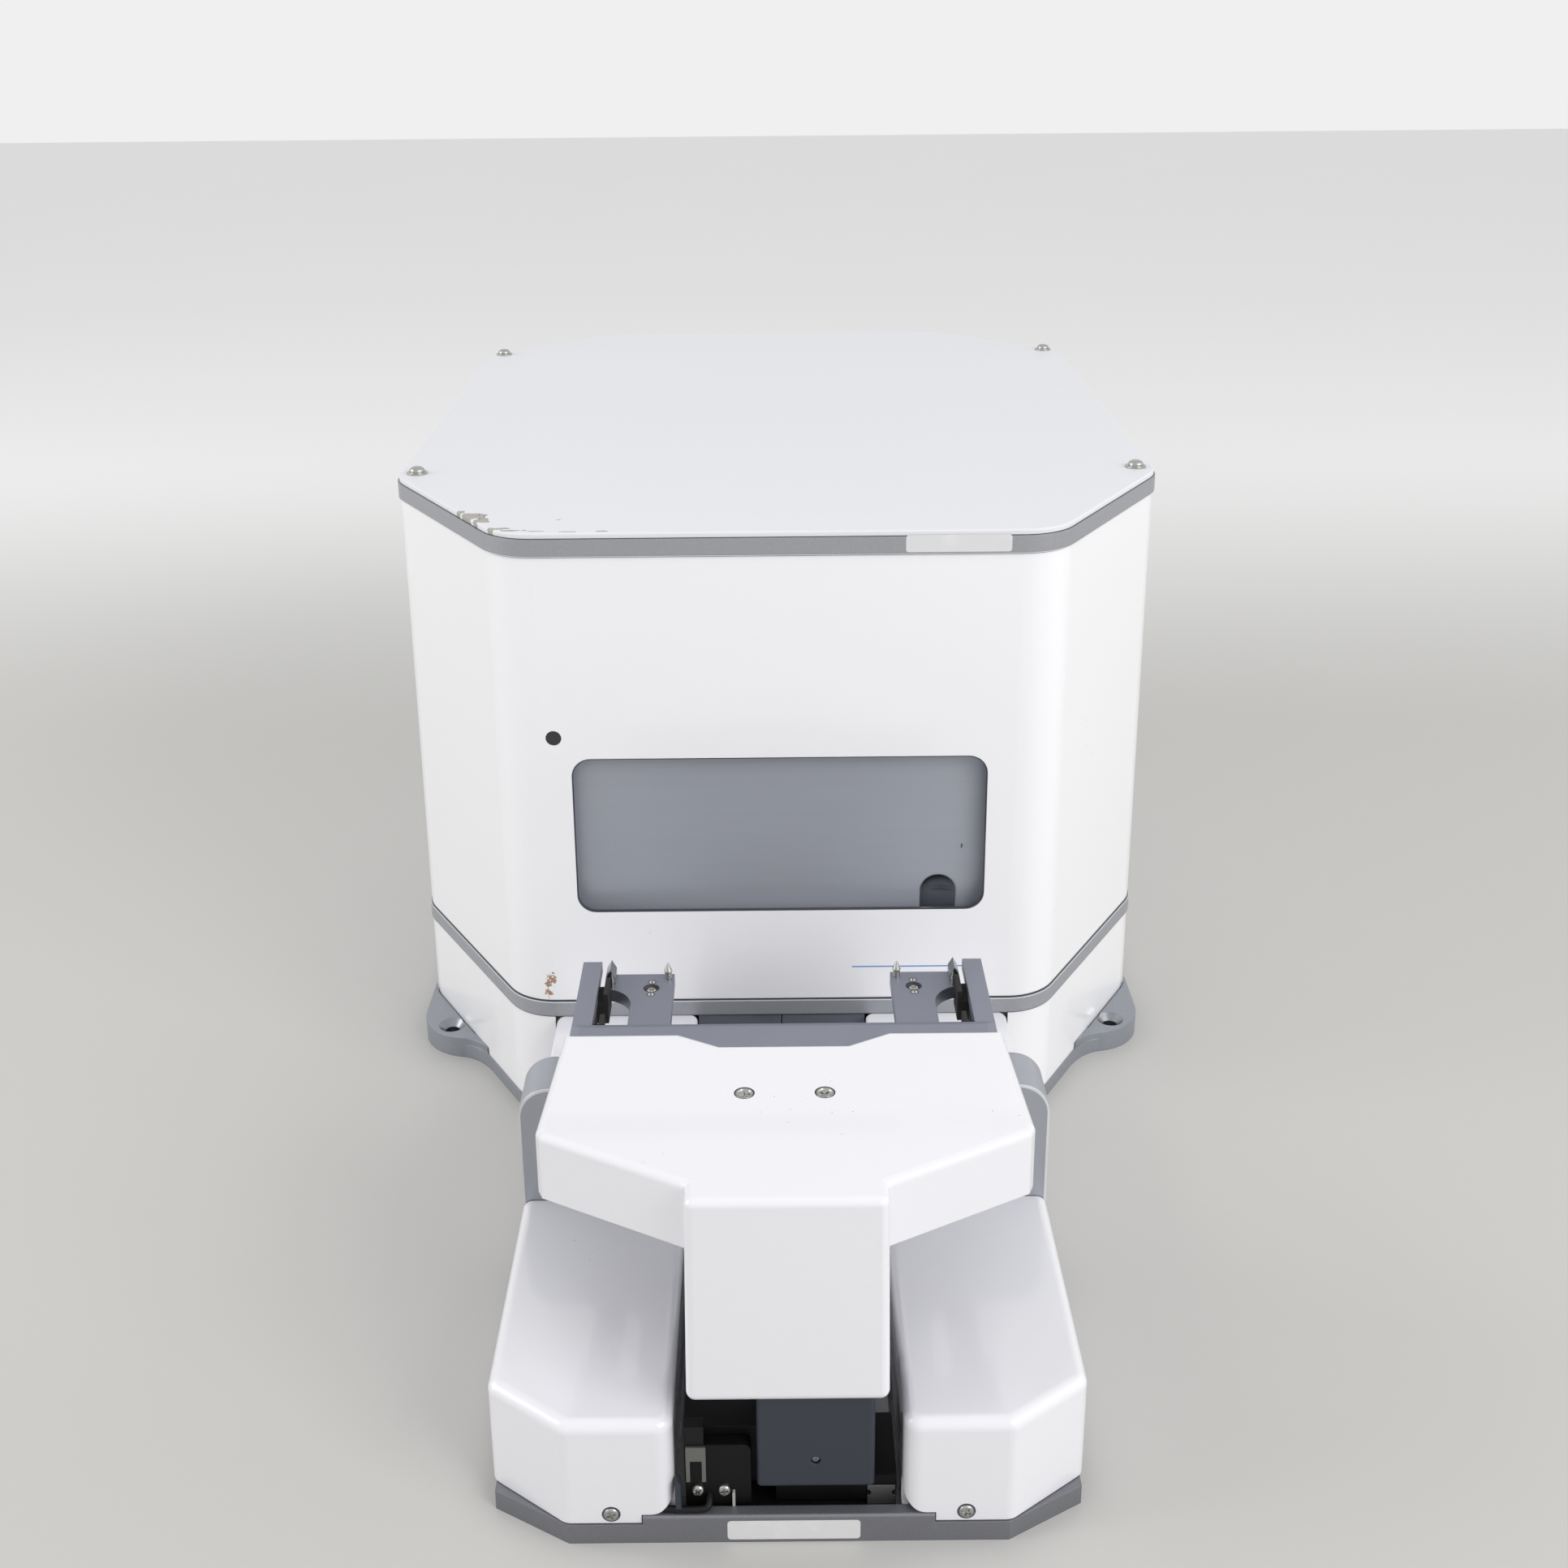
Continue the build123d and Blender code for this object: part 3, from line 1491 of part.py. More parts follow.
def make_fork_screws():
    """Cap screw in each counterbore and the small dowels beside it."""
    pieces = []
    for side in (-1, 1):
        x = side * fork_screw_x
        y = loader_y(fork_screw_at)
        head = rod(fork_bore_radius - seat_gap, fork_top - 3, fork_top - 0.6, x, y)
        head -= rod(1.2, fork_top - 2, fork_top, x, y)
        pieces.append(head)
        for end in (-1, 1):
            dowel_y = y + end * fork_dowel_pitch / 2
            pieces.append(rod(fork_dowel_radius, fork_top - 1.5, fork_top - 0.2, x, dowel_y))
    return Compound(pieces)


def pointed_pin(x, y, radius, z_low, height, cone):
    """Pin whose conical nose stands a little wider than its shank."""
    body_top_z = z_low + height - cone
    pin = rod(radius - pin_neck, z_low, body_top_z, x, y)
    return pin + Pos(x, y, body_top_z + cone / 2) * Cone(radius, radius * 0.15, cone)


def make_guide_pins():
    """Tall and short pointed pins that centre the plate on the forks."""
    pins = []
    for side in (-1, 1):
        tall_x = side * fork_pin_x
        pins.append(
            pointed_pin(tall_x, loader_y(fork_pin_at), fork_pin_radius, fork_top, fork_pin_height, fork_pin_cone)
        )
        short_x = side * (fork_wing_x - small_pin_radius - pin_edge_gap)
        short_y = loader_y(fork_wing_at) + small_pin_radius + pin_edge_gap
        pins.append(
            pointed_pin(short_x, short_y, small_pin_radius, fork_top, small_pin_height, small_pin_cone)
        )
    return Compound(pins)


def make_guide_blades():
    """Upright blades with roof-shaped tops at the forks' outer corners."""
    blades = []
    y_high = loader_y(fork_tip_at)
    y_low = y_high - blade_length
    shoulder = fork_top + blade_shoulder
    for side in (-1, 1):
        outer = side * (fork_wing_x + blade_overhang)
        inner = outer - side * blade_thickness
        profile = outline(
            [
                (inner, fork_top),
                (outer, fork_top),
                (outer, shoulder),
                ((inner + outer) / 2, fork_top + blade_height),
                (inner, shoulder),
            ]
        )
        upright = Plane(origin=(0, y_high, 0), x_dir=(1, 0, 0), z_dir=(0, -1, 0))
        blades.append(extrude(upright * profile, amount=y_high - y_low))
    return Compound(blades)


finger_bottom = finger_top - finger_height
finger_arm_z = (fork_bottom - seat_gap - finger_arm_height, fork_bottom - seat_gap)
rod_z = (finger_arm_z[0] + finger_arm_z[1]) / 2
arm_y_high = loader_y(finger_arm_at - finger_arm_width / 2)
arm_y_low = loader_y(finger_arm_at + finger_arm_width / 2)


def make_finger(side):
    """Gripper finger: a bar under the rail with two pads and an arm to its cylinder."""
    z_span = (finger_bottom, finger_top)
    tip = loader_y(finger_tip_at)
    bar = block((-finger_bar_x - finger_bar_width, -finger_bar_x), (arm_y_low, tip), z_span)
    second = loader_y(finger_second_at)
    pad_outer = -finger_pad_x - finger_pad_thickness
    pad_z = (finger_bottom, finger_top + finger_pad_rise)
    for back, length in ((tip, finger_first_pad), (second, finger_second_pad)):
        y_span = (back - length, back)
        bar += block((-finger_bar_x, -finger_pad_x), y_span, z_span)
        bar += block((pad_outer, -finger_pad_x), y_span, pad_z)
    bar += block(
        (-finger_bar_x - finger_bar_width, -finger_bar_x), (arm_y_low, arm_y_high), (finger_arm_z[0], finger_top)
    )
    arm_end = grip_cylinder_half_length + finger_travel
    bar += block((-finger_bar_x, -arm_end), (arm_y_low, arm_y_high), finger_arm_z)
    arm_y = loader_y(finger_arm_at)
    inner_end = grip_cylinder_half_length - grip_rod_reach
    bar += rod_along_x(grip_rod_radius, -arm_end, -inner_end, arm_y, rod_z)
    return bar if side < 0 else flip_x(bar)


def make_grip_cylinder():
    """Double-acting cylinder that spreads the two fingers."""
    half = grip_cylinder_half_length
    y_mid = loader_y(finger_arm_at)
    z_high = frame_bottom
    z_low = z_high - grip_cylinder_height
    body = block((-half, half), (y_mid - grip_cylinder_width / 2, y_mid + grip_cylinder_width / 2), (z_low, z_high))
    for side in (-1, 1):
        bore = mirrored_span(half - grip_rod_reach - 2, half + 1, side)
        body -= rod_along_x(grip_rod_radius + running_gap, *bore, y_mid, rod_z)
    return body


def make_lift_arm():
    """Arm that slides on the lift rail and carries the frame."""
    x_high = column_left - slide_gap
    x_low = -head_nose_half_width + head_wall + seat_gap
    y_span = (column_front_y + 2, column_back_y - 2)
    arm = block((x_low, x_high), y_span, (arm_bottom, frame_bottom))
    arm -= block(
        (column_left - lift_rail_depth - slide_gap, x_high + 1),
        (lift_y_span[0] - slide_gap, lift_y_span[1] + slide_gap),
        (arm_bottom - 1, frame_bottom + 1),
    )
    web_back = loader_y(frame_depth_at) + arm_web_lap
    web_front = column_back_y + slide_gap
    web_z = (frame_bottom - arm_web_thickness, frame_bottom)
    arm += block((x_low, -x_low), (web_front, web_back), web_z)
    return arm + block((x_low, x_high), (y_span[0], web_back), web_z)


def save(node, shape):
    """Write one node's STEP file."""
    export_step(shape, os.path.join("parts", node + ".step"))


def build():
    os.makedirs("parts", exist_ok=True)
    bucket = make_bucket()
    nodes = {
        "base_plate": make_base_plate(),
        "lower_shell": make_lower_shell(),
        "trim_band": make_trim_band(),
        "upper_casing": make_upper_casing(),
        "top_rim": make_top_rim(),
        "top_plate": make_top_plate(),
        "top_screws": make_top_screws(),
        "door": make_door(),
        "door_guides": make_door_guides(),
        "door_frame": make_door_frame(),
        "door_arm": make_door_arm(),
        "door_cylinder": make_door_cylinder(),
        "status_lamp": make_status_lamp(),
        "chamber_floor": make_chamber_floor(),
        "armour_ring": make_armour_ring(),
        "chamber_lid": make_chamber_lid(),
        "chamber_posts": make_chamber_posts(),
        "motor_housing": make_motor_housing(),
        "motor_bearings": make_motor_bearings(),
        "drive_shaft": make_drive_shaft(),
        "rotor_yoke": make_rotor_yoke(),
        "rotor_knob": make_rotor_knob(),
        "trunnion_pins": make_trunnion_pins(),
        "bucket_front": Pos(0, -trunnion_radius_at, 0) * bucket,
        "bucket_rear": Pos(0, trunnion_radius_at, 0) * Rot(0, 0, 180) * bucket,
        "power_inlet": make_power_inlet(),
        "switch_frame": make_switch_frame(),
        "power_rocker": make_power_rocker(),
        "serial_port": make_serial_port(),
        "air_fittings": make_air_fittings(),
        "power_supply": make_power_supply(),
        "controller_board": make_controller_board(),
        "loader_base": make_loader_base(),
        "side_cover_left": make_side_cover(-1),
        "side_cover_right": make_side_cover(1),
        "bulkhead_left": make_bulkhead(-1),
        "bulkhead_right": make_bulkhead(1),
        "rear_cover_left": make_rear_cover(-1),
        "rear_cover_right": make_rear_cover(1),
        "dock_panels": make_dock_panels(),
        "linear_rail": make_linear_rail(),
        "rodless_cylinder": make_rodless_cylinder(),
        "cylinder_ends": make_cylinder_ends(),
        "home_sensor": make_home_sensor(),
        "loader_screws": Compound(side_cover_screws() + end_screws()),
        "carriage_block": make_carriage_block(),
        "carriage_column": make_carriage_column(),
        "cylinder_shuttle": make_cylinder_shuttle(),
        "lift_rail": make_lift_rail(),
        "lift_arm": make_lift_arm(),
        "gripper_frame": make_gripper_frame(),
        "head_cover": make_head_cover(),
        "head_screws": make_head_screws(),
        "forks": make_forks(),
        "fork_screws": make_fork_screws(),
        "guide_pins": make_guide_pins(),
        "guide_blades": make_guide_blades(),
        "grip_cylinder": make_grip_cylinder(),
        "finger_left": make_finger(-1),
        "finger_right": make_finger(1),
    }
    for node, shape in nodes.items():
        save(node, shape)


build()
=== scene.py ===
"""Dressed scene of a microplate centrifuge with a plate loader docked to its front.

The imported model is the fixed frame. Every sub-assembly below dresses its own nodes in a
worn, procedural finish and adds the small parts that the frame leaves out.
"""

import logging
import math
from dataclasses import dataclass
from enum import Enum

import bmesh
import bpy
from mathutils import Matrix, Vector


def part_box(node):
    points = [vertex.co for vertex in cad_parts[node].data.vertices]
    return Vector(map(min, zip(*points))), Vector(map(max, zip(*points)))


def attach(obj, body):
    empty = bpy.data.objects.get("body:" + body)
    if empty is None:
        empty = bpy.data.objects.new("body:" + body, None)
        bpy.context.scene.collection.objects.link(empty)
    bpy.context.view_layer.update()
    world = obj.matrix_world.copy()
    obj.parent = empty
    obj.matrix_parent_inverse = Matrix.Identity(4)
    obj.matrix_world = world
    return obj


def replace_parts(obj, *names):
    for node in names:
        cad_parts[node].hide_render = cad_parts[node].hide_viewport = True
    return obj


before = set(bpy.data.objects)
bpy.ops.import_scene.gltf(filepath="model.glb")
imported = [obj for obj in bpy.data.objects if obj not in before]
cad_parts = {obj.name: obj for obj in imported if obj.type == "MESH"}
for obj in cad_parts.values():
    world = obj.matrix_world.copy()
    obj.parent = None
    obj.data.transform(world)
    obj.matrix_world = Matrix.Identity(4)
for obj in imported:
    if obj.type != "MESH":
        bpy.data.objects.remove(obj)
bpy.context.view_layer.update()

LOG = logging.getLogger("centrifuge")
Point = tuple[float, float, float]
Rgb = tuple[float, float, float]
Flat = tuple[float, float]
Plan = list[Flat]
Socket = bpy.types.NodeSocket
Channel = Socket | Rgb | float
Surface = tuple[Channel, Channel, Channel]
MM = 0.001
UP = (0.0, 0.0, 1.0)
FORWARD = (0.0, -1.0, 0.0)
HERE = Matrix.Identity(4)


def mm(*values: float) -> tuple[float, ...]:
    """Millimetres as metres."""
    return tuple(value * MM for value in values)


def tint(red: int, green: int, blue: int) -> Rgb:
    """A screen colour as a linear one.

    Args:
        red: Red from 0 to 255.
        green: Green from 0 to 255.
        blue: Blue from 0 to 255.

    Returns:
        The linear colour, each part from 0 to 1.
    """
    parts = (value / 255 for value in (red, green, blue))
    return tuple(p / 12.92 if p <= 0.04045 else ((p + 0.055) / 1.055) ** 2.4 for p in parts)


def placed(name: str, data: bpy.types.ID) -> bpy.types.Object:
    """New object that holds some data, linked into the scene.

    Args:
        name: Name of the object.
        data: Its mesh, curve, lamp or camera.

    Returns:
        The object.
    """
    made = bpy.data.objects.new(name, data)
    bpy.context.scene.collection.objects.link(made)
    return made


# --- Finishes ----------------------------------------------------------------------------


class Axis(Enum):
    """Direction of a grain, as a stretch of the texture space."""

    X = (0.02, 1.0, 1.0)
    Y = (1.0, 0.02, 1.0)
    Z = (1.0, 1.0, 0.02)


class Graph:
    """Node tree of one material, built round a Principled shader."""

    def __init__(self, name: str) -> None:
        """Start an empty material.

        Args:
            name: Name of the material.
        """
        self.material = bpy.data.materials.new(name)
        self.material.use_nodes = True
        self.tree = self.material.node_tree
        self.tree.nodes.clear()
        self.shader = self.node("BsdfPrincipled")
        output = self.node("OutputMaterial")
        self.tree.links.new(self.shader.outputs["BSDF"], output.inputs["Surface"])
        self.place = self.node("TexCoord").outputs["Object"]

    def node(self, kind: str, **settings: object) -> bpy.types.Node:
        """Add a shader node.

        Args:
            kind: Node type without its ShaderNode prefix.
            **settings: Attributes to set on the node.

        Returns:
            The new node.
        """
        made = self.tree.nodes.new("ShaderNode" + kind)
        for key, value in settings.items():
            setattr(made, key, value)
        return made

    def feed(self, socket: Socket, value: Channel) -> None:
        """Link a socket, or set it where the value is plain.

        Args:
            socket: Input to fill.
            value: Another node's output, a number or a colour.
        """
        if isinstance(value, Socket):
            self.tree.links.new(value, socket)
        elif isinstance(value, (tuple, list)):
            size = len(socket.default_value)
            socket.default_value = tuple(value) + (1.0,) * (size - len(value))
        else:
            socket.default_value = value

    def set(self, **values: Channel) -> None:
        """Fill the shader's sockets by name, with underscores for spaces."""
        for key, value in values.items():
            self.feed(self.shader.inputs[key.replace("_", " ")], value)

    def maths(self, operation: str, first: Channel, second: Channel) -> Socket:
        """One arithmetic step.

        Args:
            operation: Name of the operation, such as ADD.
            first: Left-hand value.
            second: Right-hand value.

        Returns:
            The result's socket.
        """
        made = self.node("Math", operation=operation)
        self.feed(made.inputs[0], first)
        self.feed(made.inputs[1], second)
        return made.outputs[0]

    def vector(self, operation: str, first: Channel, second: Point = (0, 0, 0)) -> Socket:
        """One vector step.

        Args:
            operation: Name of the operation, such as SUBTRACT.
            first: Left-hand vector.
            second: Right-hand vector.

        Returns:
            The result's socket, which is a number for LENGTH and a vector otherwise.
        """
        made = self.node("VectorMath", operation=operation)
        self.feed(made.inputs[0], first)
        self.feed(made.inputs[1], second)
        return made.outputs["Value" if operation == "LENGTH" else "Vector"]

    def spread(self, value: Channel, low: float, high: float, to: Flat = (0, 1)) -> Socket:
        """Map a range smoothly to another, clamped.

        Args:
            value: Number to map.
            low: Start of its range.
            high: End of its range.
            to: The new range.

        Returns:
            The mapped number's socket.
        """
        made = self.node("MapRange", interpolation_type="SMOOTHSTEP")
        for index, part in enumerate((value, low, high, to[0], to[1])):
            self.feed(made.inputs[index], part)
        return made.outputs[0]

    def noise(self, per_metre: float, detail: float, stretch: Point | None = None,
              distortion: float = 0.0) -> Socket:
        """Soft noise in the part's own space.

        Args:
            per_metre: Features per metre, roughly.
            detail: Octaves.
            stretch: Scale along each axis, where the noise is drawn out.
            distortion: How far the noise is warped.

        Returns:
            The noise, from 0 to 1.
        """
        made = self.node("TexNoise")
        where = self.vector("MULTIPLY", self.place, stretch) if stretch else self.place
        self.feed(made.inputs["Vector"], where)
        self.feed(made.inputs["Scale"], per_metre)
        self.feed(made.inputs["Detail"], detail)
        self.feed(made.inputs["Distortion"], distortion)
        return made.outputs[0]

    def cells(self, per_metre: float) -> Socket:
        """Distance to the nearest of many scattered points.

        Args:
            per_metre: Points per metre, roughly.

        Returns:
            The distance, from 0 at a point.
        """
        made = self.node("TexVoronoi")
        self.feed(made.inputs["Vector"], self.place)
        self.feed(made.inputs["Scale"], per_metre)
        return made.outputs["Distance"]

    def mix(self, share: Channel, first: Channel, second: Channel) -> Socket:
        """Mix two colours.

        Args:
            share: Share of the second colour.
            first: Colour where the share is 0.
            second: Colour where the share is 1.

        Returns:
            The mixed colour's socket.
        """
        # The node keeps its colour sockets behind those for numbers and vectors.
        made = self.node("Mix", data_type="RGBA")
        self.feed(made.inputs[0], share)
        self.feed(made.inputs[6], first)
        self.feed(made.inputs[7], second)
        return made.outputs[2]

    def blend(self, share: Channel, first: Channel, second: Channel) -> Socket:
        """Mix two numbers.

        Args:
            share: Share of the second number.
            first: Number where the share is 0.
            second: Number where the share is 1.

        Returns:
            The mixed number's socket.
        """
        made = self.node("Mix", data_type="FLOAT")
        self.feed(made.inputs[0], share)
        self.feed(made.inputs[2], first)
        self.feed(made.inputs[3], second)
        return made.outputs[0]

    def relief(self, height: Channel, depth: float, edge: float = 0.0) -> None:
        """Give the surface fine relief and soft edges.

        Args:
            height: Height from 0 to 1.
            depth: Depth of the relief in metres.
            edge: Radius that sharp edges are softened by, in metres.
        """
        bump = self.node("Bump")
        self.feed(bump.inputs["Distance"], depth)
        self.feed(bump.inputs["Strength"], 1.0)
        self.feed(bump.inputs["Height"], height)
        if edge:
            soft = self.node("Bevel", samples=4)
            self.feed(soft.inputs["Radius"], edge)
            self.feed(bump.inputs["Normal"], soft.outputs[0])
        self.feed(self.shader.inputs["Normal"], bump.outputs[0])

    def patch(self, centre: Point, reach: Point, ragged: float, per_metre: float) -> Socket:
        """Distance field of a ragged patch, below 1 inside it.

        Args:
            centre: Middle of the patch.
            reach: Half its size along each axis.
            ragged: How far its edge wanders.
            per_metre: Fineness of the wandering.

        Returns:
            The field's socket.
        """
        offset = self.vector("SUBTRACT", self.place, centre)
        distance = self.vector("LENGTH", self.vector("DIVIDE", offset, reach))
        if not ragged:
            return distance
        wander = self.maths("SUBTRACT", self.noise(per_metre, 3.0), 0.5)
        return self.maths("ADD", distance, self.maths("MULTIPLY", wander, ragged))


# Where a spot's rim and the spot itself fade out, as shares of its reach.

RIM_FADE = (1.16, 1.06)
SPOT_FADE = (1.02, 0.96)
DUST = tint(150, 148, 144)
TINNED = tint(196, 178, 132)


@dataclass(frozen=True)
class Wear:
    """A chip, scuff or bare machined spot in a finish.

    Attributes:
        centre: Middle of the spot, in metres.
        reach: Half its size along each axis, in metres.
        colour: What shows there.
        ragged: How far the edge wanders, as a share of the reach.
        per_metre: Fineness of the edge.
        rim: Colour of a thin line round the spot, or None.
        roughness: Roughness there.
        metallic: How metallic it is there.
    """

    centre: Point
    reach: Point
    colour: Rgb
    ragged: float = 2.4
    per_metre: float = 220.0
    rim: Rgb | None = None
    roughness: float = 0.5
    metallic: float = 0.0


@dataclass(frozen=True)
class Finish:
    """Base of every finish: a colour, a gloss and the wear on it.

    Attributes:
        name: Name of the material.
        colour: Main colour.
        roughness: Mean roughness.
        metallic: How metallic the surface is.
        edge: Radius that sharp edges are softened by, in metres.
        wear: Spots of wear.
    """

    name: str
    colour: Rgb
    roughness: float = 0.4
    metallic: float = 0.0
    edge: float = 0.0003
    wear: tuple[Wear, ...] = ()

    def material(self) -> bpy.types.Material:
        """The finish as a material, made once and then shared.

        Returns:
            The material.
        """
        label = "finish_" + self.name
        known = bpy.data.materials.get(label)
        if known:
            return known
        graph = Graph(label)
        surface = self.make(graph)
        for spot in self.wear:
            surface = self.worn(graph, spot, surface)
        graph.set(Base_Color=surface[0], Roughness=surface[1], Metallic=surface[2])
        return graph.material

    def worn(self, graph: Graph, spot: Wear, surface: Surface) -> Surface:
        """Lay one spot of wear over the finish.

        Args:
            graph: The material's nodes.
            spot: The wear.
            surface: Colour, roughness and metallic share so far.

        Returns:
            The three channels with the spot in them.
        """
        colour, roughness, metallic = surface
        distance = graph.patch(spot.centre, spot.reach, spot.ragged, spot.per_metre)
        if spot.rim:
            colour = graph.mix(graph.spread(distance, *RIM_FADE), colour, spot.rim)
        share = graph.spread(distance, *SPOT_FADE)
        colour = graph.mix(share, colour, spot.colour)
        roughness = graph.blend(share, roughness, spot.roughness)
        if spot.metallic or isinstance(metallic, Socket):
            metallic = graph.blend(share, metallic, spot.metallic)
        return colour, roughness, metallic

    def shades(self, graph: Graph, share: Channel, amount: float) -> Socket:
        """The main colour, a little lighter and darker by a share.

        Args:
            graph: The material's nodes.
            share: Where it is lighter, from 0 to 1.
            amount: Difference between the two, as a share of the colour.

        Returns:
            The colour's socket.
        """
        dark = tuple(part * (1 - amount / 2) for part in self.colour)
        light = tuple(min(1.0, part * (1 + amount / 2)) for part in self.colour)
        return graph.mix(share, dark, light)

    def make(self, graph: Graph) -> Surface:
        """Build the nodes that every kind of finish has of its own.

        Args:
            graph: The material's nodes.

        Returns:
            Colour, roughness and metallic share.
        """
        raise NotImplementedError


@dataclass(frozen=True)
class GlossPaint(Finish):
    """Sprayed gloss lacquer with a faint orange peel, specks and rubbed patches.

    Attributes:
        coat: Weight of the clear coat.
        coat_roughness: Roughness of the clear coat.
        coat_index: Refractive index of the clear coat.
        peel: Depth of the orange peel, in metres.
        peel_per_metre: Fineness of the orange peel.
        cloud: Difference between paler and darker areas.
        haze: Extra roughness of the rubbed patches.
    """

    coat: float = 0.7
    coat_roughness: float = 0.07
    coat_index: float = 1.45
    peel: float = 0.00002
    peel_per_metre: float = 420.0
    cloud: float = 0.015
    haze: float = 0.03

    def make(self, graph: Graph) -> Surface:
        """Lacquer over a soft white base.

        Args:
            graph: The material's nodes.

        Returns:
            Colour, roughness and metallic share.
        """
        colour = self.shades(graph, graph.noise(9, 2), self.cloud)
        specks = graph.spread(graph.cells(210), 0.06, 0.03)
        rare = graph.spread(graph.noise(26, 1), 0.62, 0.7)
        dust = graph.maths("MULTIPLY", specks, rare)
        colour = graph.mix(dust, colour, DUST)
        hazy = graph.spread(graph.noise(14, 2), 0.2, 0.9)
        roughness = graph.blend(hazy, self.roughness, self.roughness + self.haze)
        graph.relief(graph.noise(self.peel_per_metre, 2), self.peel, self.edge)
        graph.set(Coat_Weight=self.coat, Coat_Roughness=self.coat_roughness, Coat_IOR=self.coat_index)
        return colour, roughness, 0.0


@dataclass(frozen=True)
class SatinPaint(Finish):
    """Baked satin paint with a fine grain and long faint rub marks.

    Attributes:
        grain: Depth of the grain, in metres.
        grain_per_metre: Fineness of the grain.
        cloud: Difference between paler and darker areas.
        rub_stretch: Scale of the rub marks along each axis.
        polish: How much smoother the rub marks are.
        specular: Strength of the mirror at right angles.
    """

    grain: float = 0.00003
    grain_per_metre: float = 2600.0
    cloud: float = 0.03
    rub_stretch: Point = (0.15, 1.6, 1.0)
    polish: float = 0.07
    specular: float = 0.35

    def make(self, graph: Graph) -> Surface:
        """Fine grained paint that has been wiped many times.

        Args:
            graph: The material's nodes.

        Returns:
            Colour, roughness and metallic share.
        """
        colour = self.shades(graph, graph.noise(7, 4), self.cloud)
        rubs = graph.spread(graph.noise(60, 3, self.rub_stretch, 1.2), 0.6, 0.72)
        roughness = graph.blend(rubs, self.roughness, self.roughness - self.polish)
        graph.relief(graph.noise(self.grain_per_metre, 1), self.grain, self.edge)
        graph.set(Specular_IOR_Level=self.specular)
        return colour, roughness, 0.0


@dataclass(frozen=True)
class MetallicPaint(Finish):
    """Silver or grey paint with fine metal flake in a soft-edged coat.

    Attributes:
        flake: Flakes per metre, roughly.
        flake_depth: Depth of the flakes' relief, in metres.
        sparkle: Difference between paler and darker flakes.
        cloud: How much smoother and rougher the coat is in places.
    """

    flake: float = 3800.0
    flake_depth: float = 0.000006
    sparkle: float = 0.22
    cloud: Flat = (0.05, 0.06)

    def make(self, graph: Graph) -> Surface:
        """Flake in a satin coat.

        Args:
            graph: The material's nodes.

        Returns:
            Colour, roughness and metallic share.
        """
        flake = graph.spread(graph.cells(self.flake), 0.15, 0.7)
        colour = self.shades(graph, flake, self.sparkle)
        smoother, rougher = self.cloud
        roughness = graph.blend(graph.noise(35, 3), self.roughness - smoother, self.roughness + rougher)
        graph.relief(flake, self.flake_depth, self.edge)
        return colour, roughness, self.metallic


@dataclass(frozen=True)
class BrushedMetal(Finish):
    """Metal with a drawn-out grain, such as brushed or ground stock.

    Attributes:
        grain: Way that the grain runs.
        depth: Depth of the grain, in metres.
        contrast: Difference between paler and darker lines.
        lines_per_metre: Fineness of the fine lines and of the deeper ones.
        deeper: Share of the deeper lines.
        uneven: How much smoother and rougher the lines are.
    """

    grain: Axis = Axis.X
    depth: float = 0.000008
    contrast: float = 0.12
    lines_per_metre: Flat = (1500.0, 240.0)
    deeper: float = 0.35
    uneven: Flat = (0.06, 0.08)

    def make(self, graph: Graph) -> Surface:
        """Fine parallel lines with a few deeper ones.

        Args:
            graph: The material's nodes.

        Returns:
            Colour, roughness and metallic share.
        """
        fine, broad = self.lines_per_metre
        lines = graph.noise(fine, 3, self.grain.value)
        both = graph.blend(self.deeper, lines, graph.noise(broad, 2, self.grain.value))
        colour = self.shades(graph, both, self.contrast)
        smoother, rougher = self.uneven
        roughness = graph.blend(lines, self.roughness - smoother, self.roughness + rougher)
        graph.relief(lines, self.depth, self.edge)
        return colour, roughness, self.metallic


@dataclass(frozen=True)
class BlastedMetal(Finish):
    """Bead-blasted and anodised aluminium: an even, very fine tooth.

    Attributes:
        contrast: Difference between paler and darker areas.
        specular: Strength of the mirror at right angles.
        tooth: Depth of the tooth, in metres.
        tooth_per_metre: Fineness of the tooth.
        polish: How much smoother it is where it has been handled.
    """

    contrast: float = 0.08
    specular: float = 0.5
    tooth: float = 0.00001
    tooth_per_metre: float = 3200.0
    polish: float = 0.08

    def make(self, graph: Graph) -> Surface:
        """Even tooth with handling marks.

        Args:
            graph: The material's nodes.

        Returns:
            Colour, roughness and metallic share.
        """
        graph.set(Specular_IOR_Level=self.specular)
        handled = graph.spread(graph.noise(38, 4, distortion=0.8), 0.45, 0.7)
        colour = self.shades(graph, graph.noise(18, 3), self.contrast)
        roughness = graph.blend(handled, self.roughness, self.roughness - self.polish)
        graph.relief(graph.noise(self.tooth_per_metre, 1), self.tooth, self.edge)
        return colour, roughness, self.metallic


